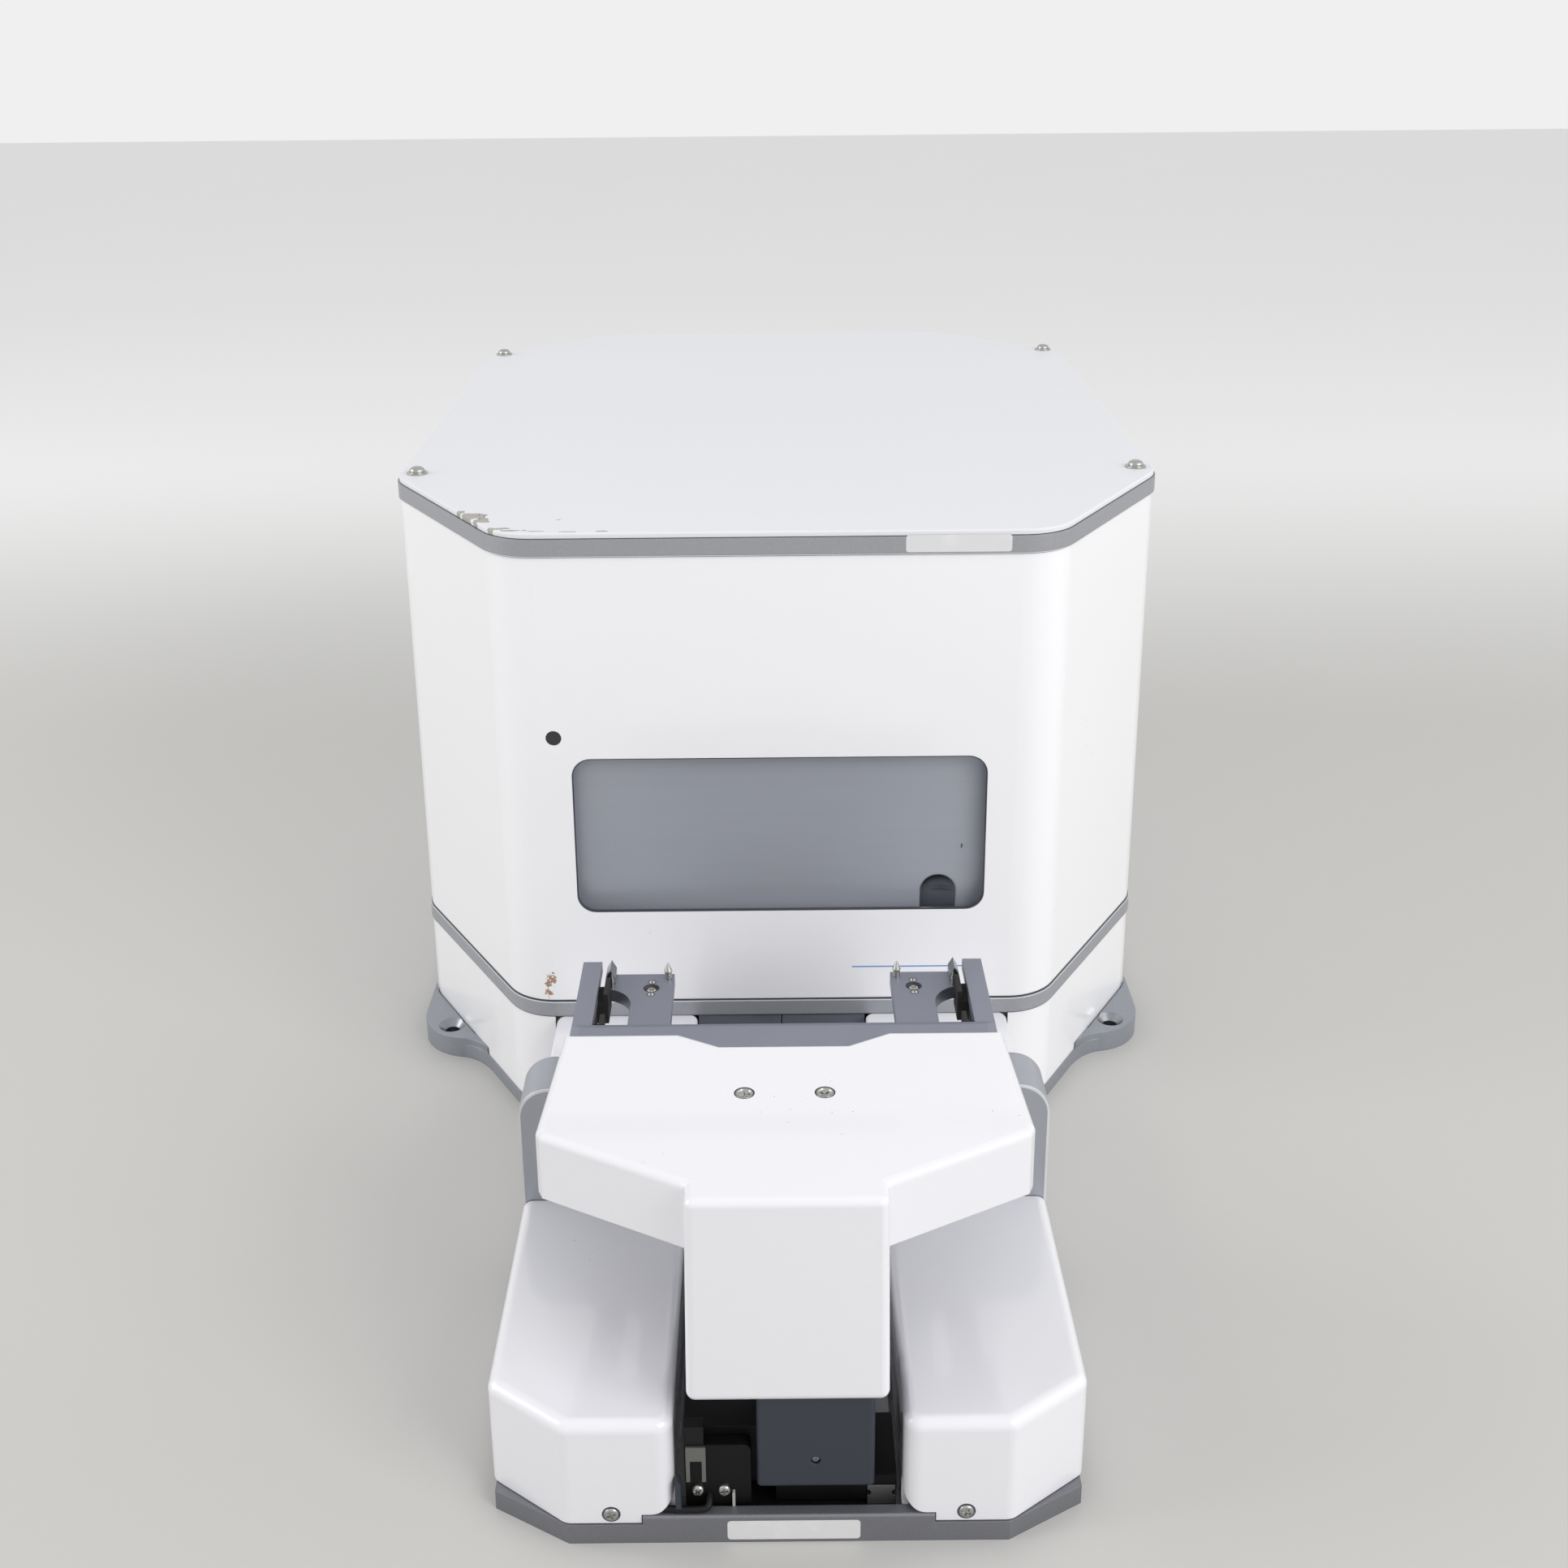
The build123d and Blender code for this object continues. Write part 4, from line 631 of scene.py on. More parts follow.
@dataclass(frozen=True)
class TurnedMetal(Finish):
    """Bright turned or rolled metal with fine random scratches.

    Attributes:
        hairs_per_metre: Fineness of the upright scratches and of the level ones.
        depth: Depth of the scratches, in metres.
        contrast: Difference between paler and darker areas.
        rougher: Extra roughness of the scratches.
    """

    hairs_per_metre: Flat = (2400.0, 1900.0)
    depth: float = 0.000004
    contrast: float = 0.1
    rougher: float = 0.14

    def make(self, graph: Graph) -> Surface:
        """Bright metal with hair scratches both ways.

        Args:
            graph: The material's nodes.

        Returns:
            Colour, roughness and metallic share.
        """
        upright, level = self.hairs_per_metre
        along, across = graph.noise(upright, 2, Axis.Z.value), graph.noise(level, 2, Axis.X.value)
        hair = graph.maths("MAXIMUM", along, across)
        colour = self.shades(graph, graph.noise(60, 3), self.contrast)
        roughness = graph.spread(hair, 0.3, 0.8, (self.roughness, self.roughness + self.rougher))
        graph.relief(hair, self.depth, self.edge)
        return colour, roughness, self.metallic


@dataclass(frozen=True)
class MouldedPlastic(Finish):
    """Spark-eroded mould grain on plastic or rubber.

    Attributes:
        grain: Depth of the grain, in metres.
        per_metre: Fineness of the grain.
        specular: Strength of the mirror at right angles.
        dust: Difference between dusty and clean spots.
        rougher: Extra roughness of the dusty spots.
        roughest: Roughness that no spot goes past.
    """

    grain: float = 0.00005
    per_metre: float = 1100.0
    specular: float = 0.5
    dust: float = 0.5
    rougher: float = 0.12
    roughest: float = 0.95

    def make(self, graph: Graph) -> Surface:
        """Pebbled grain with dusty high spots.

        Args:
            graph: The material's nodes.

        Returns:
            Colour, roughness and metallic share.
        """
        graph.set(Specular_IOR_Level=self.specular)
        dusty = graph.spread(graph.noise(50, 4), 0.5, 0.8)
        colour = self.shades(graph, dusty, self.dust)
        roughness = graph.blend(dusty, self.roughness, min(self.roughest, self.roughness + self.rougher))
        graph.relief(graph.cells(self.per_metre), self.grain, self.edge)
        return colour, roughness, 0.0


@dataclass(frozen=True)
class SolderMask(Finish):
    """Circuit board lacquer with raised tracks and pads.

    Attributes:
        copper: Colour of the tracks under the lacquer.
        tracks_per_metre: Fineness of the tracks.
        track: Width of a track, as a share of its spacing.
        pads_per_metre: Fineness of the pads.
        pad_roughness: Roughness of the tinned pads.
        relief: Height of tracks and pads, in metres.
    """

    copper: Rgb = (0.08, 0.30, 0.14)
    tracks_per_metre: float = 190.0
    track: float = 0.012
    pads_per_metre: float = 330.0
    pad_roughness: float = 0.25
    relief: float = 0.00004

    def make(self, graph: Graph) -> Surface:
        """Tracks as a brick pattern under the lacquer.

        Args:
            graph: The material's nodes.

        Returns:
            Colour, roughness and metallic share.
        """
        bricks = graph.node("TexBrick", offset=0.37, squash=0.6)
        graph.feed(bricks.inputs["Vector"], graph.place)
        graph.feed(bricks.inputs["Scale"], self.tracks_per_metre)
        graph.feed(bricks.inputs["Mortar Size"], self.track)
        track = bricks.outputs["Fac"]
        pads = graph.spread(graph.cells(self.pads_per_metre), 0.22, 0.18)
        colour = graph.mix(track, self.colour, self.copper)
        colour = graph.mix(pads, colour, TINNED)
        roughness = graph.blend(pads, self.roughness, self.pad_roughness)
        graph.relief(graph.maths("MAXIMUM", track, pads), self.relief, self.edge)
        return colour, roughness, 0.0


@dataclass(frozen=True)
class PrintedFilm(Finish):
    """Thin self-adhesive film: a matt face with slight creases.

    Attributes:
        grime: Difference between grubby and clean spots.
        rougher: Extra roughness of the grubby spots.
        crease: Depth of the creases, in metres.
    """

    grime: float = 0.07
    rougher: float = 0.1
    crease: float = 0.00003

    def make(self, graph: Graph) -> Surface:
        """Even film with a crease or two and grubby edges.

        Args:
            graph: The material's nodes.

        Returns:
            Colour, roughness and metallic share.
        """
        grubby = graph.spread(graph.noise(140, 4), 0.5, 0.8)
        colour = self.shades(graph, grubby, self.grime)
        roughness = graph.blend(grubby, self.roughness, self.roughness + self.rougher)
        graph.relief(graph.noise(300, 3, distortion=1.0), self.crease)
        return colour, roughness, self.metallic


# Wear of the body's paint. The chips lie on the top plate, whose height they share with its screws.

PLATE_TOP = 268.5
CHIP = tint(172, 168, 160)
CHIP_RIM = tint(96, 92, 88)
SCUFF = tint(168, 134, 112)
BARE_METAL = tint(150, 152, 157)
BARE_WHITE = tint(252, 252, 253)


def chip(x: float, y: float, half_x: float, half_y: float, ragged: float = 2.4) -> Wear:
    """A paint chip on the top plate.

    Args:
        x: Place along X, in millimetres.
        y: Place along Y, in millimetres.
        half_x: Half its length.
        half_y: Half its depth.
        ragged: How far its edge wanders.

    Returns:
        The wear spot.
    """
    return Wear(mm(x, y, PLATE_TOP), mm(half_x, half_y, 6), CHIP, ragged, 260.0, CHIP_RIM)


def bare_ring(x: float, y: float, radius: float) -> Wear:
    """Bare machined metal round an upright hole, all the way down.

    Args:
        x: Place along X, in millimetres.
        y: Place along Y, in millimetres.
        radius: Radius of the bare spot.

    Returns:
        The wear spot.
    """
    reach = mm(radius, radius, 400)
    return Wear(mm(x, y, 8), reach, BARE_METAL, ragged=0.0, per_metre=1.0, roughness=0.3, metallic=0.95)


EAR_HOLES = [(side * 156.0, y) for side in (-1, 1) for y in (-114.5, 239.0)]

CASING_WHITE = GlossPaint(
    "casing_white", tint(246, 246, 249), 0.3, wear=(
        Wear(mm(-99.8, -173, 68.2), mm(1.6, 9, 2.5), SCUFF, 5.0, 900.0),
        Wear(mm(-101.0, -173, 65.6), mm(1.2, 9, 1.2), SCUFF, 4.6, 900.0),
        Wear(mm(-101.2, -173, 61.6), mm(1.3, 9, 1.7), tint(170, 138, 116), 5.2, 900.0),
        Wear(mm(-137.7, -144.2, 35), mm(2.2, 2.2, 0.7), BARE_WHITE, 0.6, 300.0),
        Wear(mm(137.1, -145.4, 35), mm(2.2, 2.2, 0.7), BARE_WHITE, 0.6, 300.0)))
COVER_WHITE = GlossPaint("cover_white", tint(235, 235, 240), 0.24, coat=1.0)
TOP_SATIN = SatinPaint("top_satin", tint(228, 229, 233), 0.46, wear=(
    chip(-126.8, -148, 5.6, 3.6, 3.0), chip(-120.6, -155.5, 3.4, 2.6, 2.6), chip(-131.6, -141.5, 2.4, 1.6),
    chip(-113.5, -167.6, 4.2, 1.5), chip(-106.5, -170.6, 4.6, 0.9), chip(-96, -171.9, 4.0, 0.55),
    chip(-84, -172.9, 3.2, 0.5), chip(-70, -172.6, 2.6, 0.8), chip(-89.3, -154.6, 0.9, 0.5, 1.0)))
SILVER = MetallicPaint("silver", tint(158, 159, 164), 0.42, 0.35, 0.0006)
BAND_SILVER = MetallicPaint("band_silver", tint(160, 162, 168), 0.42, 0.35, 0.0005)
BASE_GREY = MetallicPaint("base_grey", tint(148, 152, 159), 0.36, 0.5, 0.0006,
                          wear=tuple(bare_ring(x, y, 6.45) for x, y in EAR_HOLES))
LOADER_GREY = MetallicPaint("loader_grey", tint(126, 127, 133), 0.4, 0.6, 0.0004)
ANODISED = BlastedMetal("anodised", tint(140, 143, 155), 0.42, 0.6, 0.00035)
BULKHEAD_GREY = BlastedMetal("bulkhead_grey", tint(172, 175, 182), 0.38, 0.6, 0.0016)
DOOR_GREY = BrushedMetal("door_grey", tint(176, 180, 189), 0.42, 0.45, 0.0002, wear=(
    Wear(mm(67.6, -160.0, 102.0), mm(40, 7.12, 60), tint(176, 179, 186), 0.0, 1.0, None, 0.16, 1.0),
    Wear(mm(77.4, -167.2, 126.5), mm(0.5, 1.5, 1.1), tint(92, 94, 104), 1.6, 700.0)))
DARK_GREY = BlastedMetal("dark_grey", tint(58, 62, 73), 0.42, 0.35, 0.001)
BLACK_ANODISED = BlastedMetal("black_anodised", tint(9, 9, 10), 0.5, 0.0, 0.0003, specular=0.22)
BLACK_PLASTIC = MouldedPlastic("black_plastic", tint(13, 13, 14), 0.5, specular=0.3)
# Near-black sheet for the loader's channel floor: painted shade where the floor lies in shadow between the
# covers.
CHANNEL_SHADE_BLACK = MouldedPlastic("channel_shade_black", tint(24, 24, 27), 0.2, grain=0.00001)
RUBBER = MouldedPlastic("rubber", tint(30, 30, 31), 0.72, grain=0.00002, per_metre=2400.0)
STEEL = TurnedMetal("steel", tint(176, 175, 172), 0.2, 1.0, 0.0002)
GROUND_STEEL = BrushedMetal("ground_steel", tint(170, 171, 175), 0.26, 1.0, 0.0002,
                            grain=Axis.Y, depth=0.000003, contrast=0.05)
ALUMINIUM = BrushedMetal("aluminium", tint(190, 191, 194), 0.34, 0.95, 0.0003, grain=Axis.Y, contrast=0.08)
CHAMBER_STEEL = BrushedMetal("chamber_steel", tint(178, 179, 182), 0.32, 0.95, 0.0003, grain=Axis.Z)
BRASS = TurnedMetal("brass", tint(196, 168, 98), 0.24, 1.0, 0.0002)
LENS = GlossPaint("smoked_lens", tint(14, 14, 17), 0.12, coat=1.0, peel=0.000004, edge=0.0002)
BOARD = SolderMask("solder_mask", tint(18, 84, 44), 0.35)
PIN_STEEL = TurnedMetal("pin_steel", tint(208, 206, 198), 0.28, 0.6, 0.0002)
RAIL_GREY = BrushedMetal("rail_grey", tint(128, 128, 130), 0.42, 0.8, 0.0003,
                         grain=Axis.Y, depth=0.000002, contrast=0.03)
SENSOR_GREY = BrushedMetal("sensor_grey", tint(118, 118, 115), 0.4, 0.6, 0.0001, grain=Axis.Z)
LIGHT_GUIDE = MouldedPlastic("light_guide", tint(196, 196, 192), 0.3, grain=0.00001)
LABEL = PrintedFilm("label_film", tint(228, 228, 229), 0.38, 0.1)
# Dark finish of painted shade: shadow lines in the gaps between parts, round the window's edge and round
# sunk screws.
SHADE_DARK = MouldedPlastic("painted_shade", tint(70, 72, 84), 0.5, grain=0.00001)
# Bright finish of painted highlight: lines where the band's, rim's and bulkheads' edges catch the light.
HIGHLIGHT_SILVER = BrushedMetal("painted_highlight", tint(228, 229, 233), 0.3, 0.3, 0.0001)
BLUE_FILM = PrintedFilm("blue_film", tint(92, 140, 214), 0.4)


# --- Meshes ------------------------------------------------------------------------------


ON_AXIS = 1e-6
SHARP_FROM = 35.0


class Shape:
    """A mesh in the making, in metres, that ends as one object."""

    def __init__(self) -> None:
        """Start with nothing."""
        self.mesh = bmesh.new()

    def turned(self, profile: Plan, place: Matrix, steps: int = 40) -> "Shape":
        """Add a turned solid.

        Args:
            profile: Radius and height pairs in millimetres, from axis to axis.
            place: Where its own Z axis goes.
            steps: Faces round it.

        Returns:
            This shape.
        """
        rings = []
        for radius, height in profile:
            if radius < ON_AXIS:
                rings.append([self.mesh.verts.new(place @ Vector(mm(0, 0, height)))])
                continue
            ring = []
            for step in range(steps):
                turn = 2 * math.pi * step / steps
                point = Vector(mm(radius * math.cos(turn), radius * math.sin(turn), height))
                ring.append(self.mesh.verts.new(place @ point))
            rings.append(ring)
        for low, high in zip(rings, rings[1:]):
            for step in range(steps):
                after = (step + 1) % steps
                corners = [low[step % len(low)], low[after % len(low)],
                           high[after % len(high)], high[step % len(high)]]
                distinct = list(dict.fromkeys(corners))
                if len(distinct) > 2:
                    self.mesh.faces.new(distinct)
        return self

    def prism(self, outline: Plan, low: float, high: float, place: Matrix = HERE) -> "Shape":
        """Add an upright prism.

        Args:
            outline: Its plan, in millimetres.
            low: Height of its foot.
            high: Height of its top.
            place: Where its own Z axis goes.

        Returns:
            This shape.
        """
        foot = [self.mesh.verts.new(place @ Vector(mm(x, y, low))) for x, y in outline]
        top = [self.mesh.verts.new(place @ Vector(mm(x, y, high))) for x, y in outline]
        self.mesh.faces.new(list(reversed(foot)))
        self.mesh.faces.new(top)
        for index in range(len(outline)):
            after = (index + 1) % len(outline)
            self.mesh.faces.new([foot[index], foot[after], top[after], top[index]])
        return self

    def ring(self, outer: Plan, inner: Plan, low: float, high: float, place: Matrix = HERE) -> "Shape":
        """Add a closed band between two plans.

        Args:
            outer: Outer plan, in millimetres.
            inner: Inner plan, with as many points.
            low: Height of its foot.
            high: Height of its top.
            place: Where its own Z axis goes.

        Returns:
            This shape.
        """
        loops = [[self.mesh.verts.new(place @ Vector(mm(x, y, z))) for x, y in plan]
                 for plan, z in ((outer, low), (outer, high), (inner, high), (inner, low))]
        for first, second in zip(loops, loops[1:] + loops[:1]):
            for index in range(len(outer)):
                after = (index + 1) % len(outer)
                self.mesh.faces.new([first[index], first[after], second[after], second[index]])
        return self

    def stamped(self, other: bpy.types.Mesh, place: Matrix) -> "Shape":
        """Add a copy of a finished mesh.

        Args:
            other: The mesh.
            place: Where its own Z axis goes.

        Returns:
            This shape.
        """
        before = set(self.mesh.verts)
        self.mesh.from_mesh(other)
        fresh = [vert for vert in self.mesh.verts if vert not in before]
        bmesh.ops.transform(self.mesh, matrix=place, verts=fresh)
        return self

    def to_mesh(self, name: str) -> bpy.types.Mesh:
        """Finish as bare mesh data with its faces turned outwards.

        Args:
            name: Name of the data.

        Returns:
            The mesh data.
        """
        bmesh.ops.recalc_face_normals(self.mesh, faces=self.mesh.faces)
        made = bpy.data.meshes.new(name)
        self.mesh.to_mesh(made)
        self.mesh.free()
        return made

    def to_part(self, name: str, finish: Finish, body: str, slot: str) -> bpy.types.Object:
        """Finish as a part that rides on a body.

        Args:
            name: Name of the part.
            finish: Its finish.
            body: Body that it moves with.
            slot: Slot of the record that its finish stands for; not used.

        Returns:
            The part.
        """
        made = self.to_mesh(name)
        made.shade_smooth()
        made.set_sharp_from_angle(angle=math.radians(SHARP_FROM))
        made.materials.append(finish.material())
        part = placed(name, made)
        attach(part, body)
        LOG.info("part %s on %s", name, body)
        return part


def rounded_outline(corners: Plan, radius: float, inset: float = 0.0, steps: int = 8) -> Plan:
    """Plan with every corner rounded.

    Args:
        corners: Its sharp corners, anticlockwise.
        radius: Radius of the corners.
        inset: How far the rounded plan is then drawn in.
        steps: Faces round each corner.

    Returns:
        The rounded plan's points.
    """
    points = []
    for index, corner in enumerate(corners):
        here = Vector(corner)
        back = (Vector(corners[index - 1]) - here).normalized()
        ahead = (Vector(corners[(index + 1) % len(corners)]) - here).normalized()
        half = back.angle(ahead) / 2
        centre = here + (back + ahead).normalized() * radius / math.sin(half)
        start = (here + back * radius / math.tan(half) - centre) * (1 - inset / radius)
        for step in range(steps + 1):
            turn = (math.pi - 2 * half) * step / steps
            points.append(tuple(centre + Matrix.Rotation(turn, 2) @ start))
    return points


def rounded_rectangle(width: float, height: float, radius: float, steps: int = 6) -> Plan:
    """Rounded rectangle about the origin, with so many faces round each corner."""
    x, y = width / 2, height / 2
    return rounded_outline([(x, y), (-x, y), (-x, -y), (x, -y)], radius, steps=steps)


def arc(x: float, y: float, radius: float, steps: int = 12) -> Plan:
    """Quarter circle about a centre, from its right-hand side to its top."""
    turns = [math.pi / 2 * step / steps for step in range(steps + 1)]
    return [(x + radius * math.cos(turn), y + radius * math.sin(turn)) for turn in turns]


def swept(first: Flat, middle: Flat, last: Flat, steps: int = 12) -> Plan:
    """Smooth curve between two points.

    Args:
        first: Where it starts.
        middle: Point that it is drawn towards.
        last: Where it ends.
        steps: Lines along it.

    Returns:
        The curve's points.
    """
    points = []
    for step in range(steps + 1):
        share = step / steps
        left = 1 - share
        points.append(tuple(left ** 2 * a + 2 * share * left * b + share * share * c
                            for a, b, c in zip(first, middle, last)))
    return points


def facing(x: float, y: float, z: float, towards: Point = UP, spin: float = 0.0) -> Matrix:
    """Place whose own Z axis points a given way.

    Args:
        x: Place along X, in millimetres.
        y: Place along Y.
        z: Place along Z.
        towards: Direction of its Z axis.
        spin: Turn about that axis, in degrees.

    Returns:
        The placing matrix, in metres.
    """
    turn = Vector(towards).to_track_quat("Z", "Y").to_matrix().to_4x4()
    return Matrix.Translation(mm(x, y, z)) @ turn @ Matrix.Rotation(math.radians(spin), 4, "Z")


def standing(x: float, y: float) -> Matrix:
    """Place of a plan that stands upright, its own Y axis up and its Z axis forwards."""
    return Matrix.Translation(mm(x, y, 0)) @ Matrix.Rotation(math.pi / 2, 4, "X")


def carved(body: bpy.types.Mesh, cutter: bpy.types.Mesh) -> bpy.types.Mesh:
    """One mesh with another taken out of it.

    Args:
        body: Mesh to cut.
        cutter: Closed mesh to take away.

    Returns:
        The cut mesh.
    """
    holders = [placed("holder", data) for data in (body, cutter)]
    step = holders[0].modifiers.new("carve", "BOOLEAN")
    step.object = holders[1]
    step.solver = "EXACT"
    ready = holders[0].evaluated_get(bpy.context.evaluated_depsgraph_get())
    made = bpy.data.meshes.new_from_object(ready)
    for holder in holders:
        bpy.data.objects.remove(holder)
    return made


class Drive(Enum):
    """Recess in a screw's head."""

    CROSS = "cross"
    HEX = "hex"
    SLOT = "slot"
    PLAIN = "plain"


class Head(Enum):
    """Form of a screw's head."""

    DOME = "dome"
    PAN = "pan"
    CAP = "cap"
    FLAT = "flat"
    DISH = "dish"


# Turns along a rounded head, and sizes of heads and recesses as shares of the head's own size.

QUARTER_TURNS = [math.radians(90 * step / 8) for step in range(1, 8)]
DOME_FLAT = 0.25
PAN_FLAT = 0.55
HEAD_WALL = 0.22
RECESS_DEPTH = 0.62
HEX_REACH = 0.52
ARM_REACH = 0.62
ARM_HALF = 0.15
SLOT_STRETCH = 1.5


@dataclass(frozen=True)
class Screw:
    """A machine screw, drawn about its own axis with its seat at height 0.

    Attributes:
        head: Form of the head.
        drive: Recess in it.
        radius: Radius of the head.
        height: Height of the head.
        shank: Radius of the shank.
        length: Length of the shank.
        washer: Radius and thickness of a washer under the head, or None.
    """

    head: Head
    drive: Drive
    radius: float
    height: float
    shank: float
    length: float
    washer: Flat | None = None

    @property
    def foot(self) -> float:
        """Height of the head's underside."""
        return self.washer[1] if self.washer else 0.0

    @property
    def top(self) -> float:
        """Height of the head's top."""
        return self.foot + self.height

    def profile(self) -> Plan:
        """Radius and height pairs of the whole screw.

        Returns:
            The pairs, from the shank's tip up.
        """
        points = [(0.0, -self.length), (self.shank, -self.length), (self.shank, 0.0)]
        if self.washer:
            wide, thick = self.washer
            points += [(wide - 0.15, 0.0), (wide, 0.12), (wide, thick - 0.15), (wide - 0.15, thick)]
        return points + self.crown()

    def crown(self) -> Plan:
        """Radius and height pairs of the head.

        Returns:
            The pairs, from the head's foot to its middle.
        """
        wide, foot, top = self.radius, self.foot, self.top
        if self.head is Head.CAP:
            return [(wide, foot), (wide, top - 0.35), (wide - 0.35, top), (0.0, top)]
        if self.head is Head.FLAT:
            return [(wide - 0.5, foot), (wide, top - 0.25), (wide - 0.3, top), (0.0, top)]
        if self.head is Head.DISH:
            lip, hollow = wide - 0.5, self.height * 0.5
            edge = [(wide - 0.35, foot), (wide, top - 0.2), (wide - 0.15, top), (lip, top)]
            bowl = [(lip * math.cos(turn), top - hollow * math.sin(turn)) for turn in QUARTER_TURNS]
            return edge + bowl + [(0.0, top - hollow)]
        points = [(wide, foot), (wide, foot + self.height * HEAD_WALL)]
        flat = DOME_FLAT if self.head is Head.DOME else PAN_FLAT
        for turn in QUARTER_TURNS:
            out = wide * (flat + (1 - flat) * math.cos(turn))
            points.append((out, foot + self.height * (HEAD_WALL + (1 - HEAD_WALL) * math.sin(turn))))
        return points + [(0.0, top)]

    def recess_plan(self) -> Plan:
        """Plan of the drive recess.

        Returns:
            Its points, anticlockwise.
        """
        if self.drive is Drive.HEX:
            reach = self.radius * HEX_REACH
            turns = [math.radians(60 * corner) for corner in range(6)]
            return [(reach * math.cos(turn), reach * math.sin(turn)) for turn in turns]
        arm, half = self.radius * ARM_REACH, self.radius * ARM_HALF
        if self.drive is Drive.SLOT:
            arm *= SLOT_STRETCH
            return [(arm, half), (-arm, half), (-arm, -half), (arm, -half)]
        return [(half, arm), (-half, arm), (-half, half), (-arm, half), (-arm, -half), (-half, -half),
                (-half, -arm), (half, -arm), (half, -half), (arm, -half), (arm, half), (half, half)]

    def mesh(self) -> bpy.types.Mesh:
        """The whole screw with its recess.

        Returns:
            The mesh data.
        """
        body = Shape().turned(self.profile(), HERE).to_mesh("screw")
        if self.drive is Drive.PLAIN:
            return body
        deep = self.top - self.height * RECESS_DEPTH
        return carved(body, Shape().prism(self.recess_plan(), deep, self.top + 1).to_mesh("recess"))


def shade_ring(inner: float, outer: float) -> Plan:
    """Profile of the dark ring between a sunk head and its hole, painted shade where the head sits in its
    counterbore.
    """
    return [(inner, -0.3), (outer, -0.3), (outer, 0.02), (inner + 0.1, 0.05), (inner, -0.3)]


# --- Sub-assemblies ----------------------------------------------------------------------


def dress(finish: Finish, *nodes: str) -> None:
    """Give nodes of the frame a finish.

    Args:
        finish: The finish.
        *nodes: Names of the nodes.
    """
    material = finish.material()
    for name in nodes:
        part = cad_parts[name]
        if not part.material_slots:
            part.data.materials.append(material)
        for holder in part.material_slots:
            holder.material = material
        LOG.info("node %s in %s", name, finish.name)


@dataclass(frozen=True)
class Seam:
    """A thin line all round the body: a dark line of painted shade in the gap between two parts, or a bright
    line of painted highlight along an edge.

    Attributes:
        name: Name of the piece.
        finish: Its finish.
        slot: Slot of the record that the finish stands for.
        low: Height of its foot, in millimetres.
        high: Height of its top.
        inset: How far its face lies inside the body's plan.
    """

    name: str
    finish: Finish
    slot: str
    low: float
    high: float
    inset: float


@dataclass(frozen=True)
class Inlay:
    """A small rounded plate set flat on a front face, such as a film or a light guide.

    Attributes:
        name: Name of the piece.
        finish: Its finish.
        size: Width and height, in millimetres.
        radius: Radius of its corners.
        middle: Its middle on the face.
        proud: How far it stands out of the face.
        sunk: How far it reaches into the face.
        steps: Faces round each corner.
    """

    name: str
    finish: Finish
    size: Flat
    radius: float
    middle: Point
    proud: float = 0.12
    sunk: float = 0.3
    steps: int = 6

    def build(self) -> None:
        """Set it into its face."""
        plan = rounded_rectangle(*self.size, self.radius, self.steps)
        shape = Shape().prism(plan, -self.sunk, self.proud, facing(*self.middle, FORWARD))
        shape.to_part(self.name, self.finish, "housing", "satin_white")


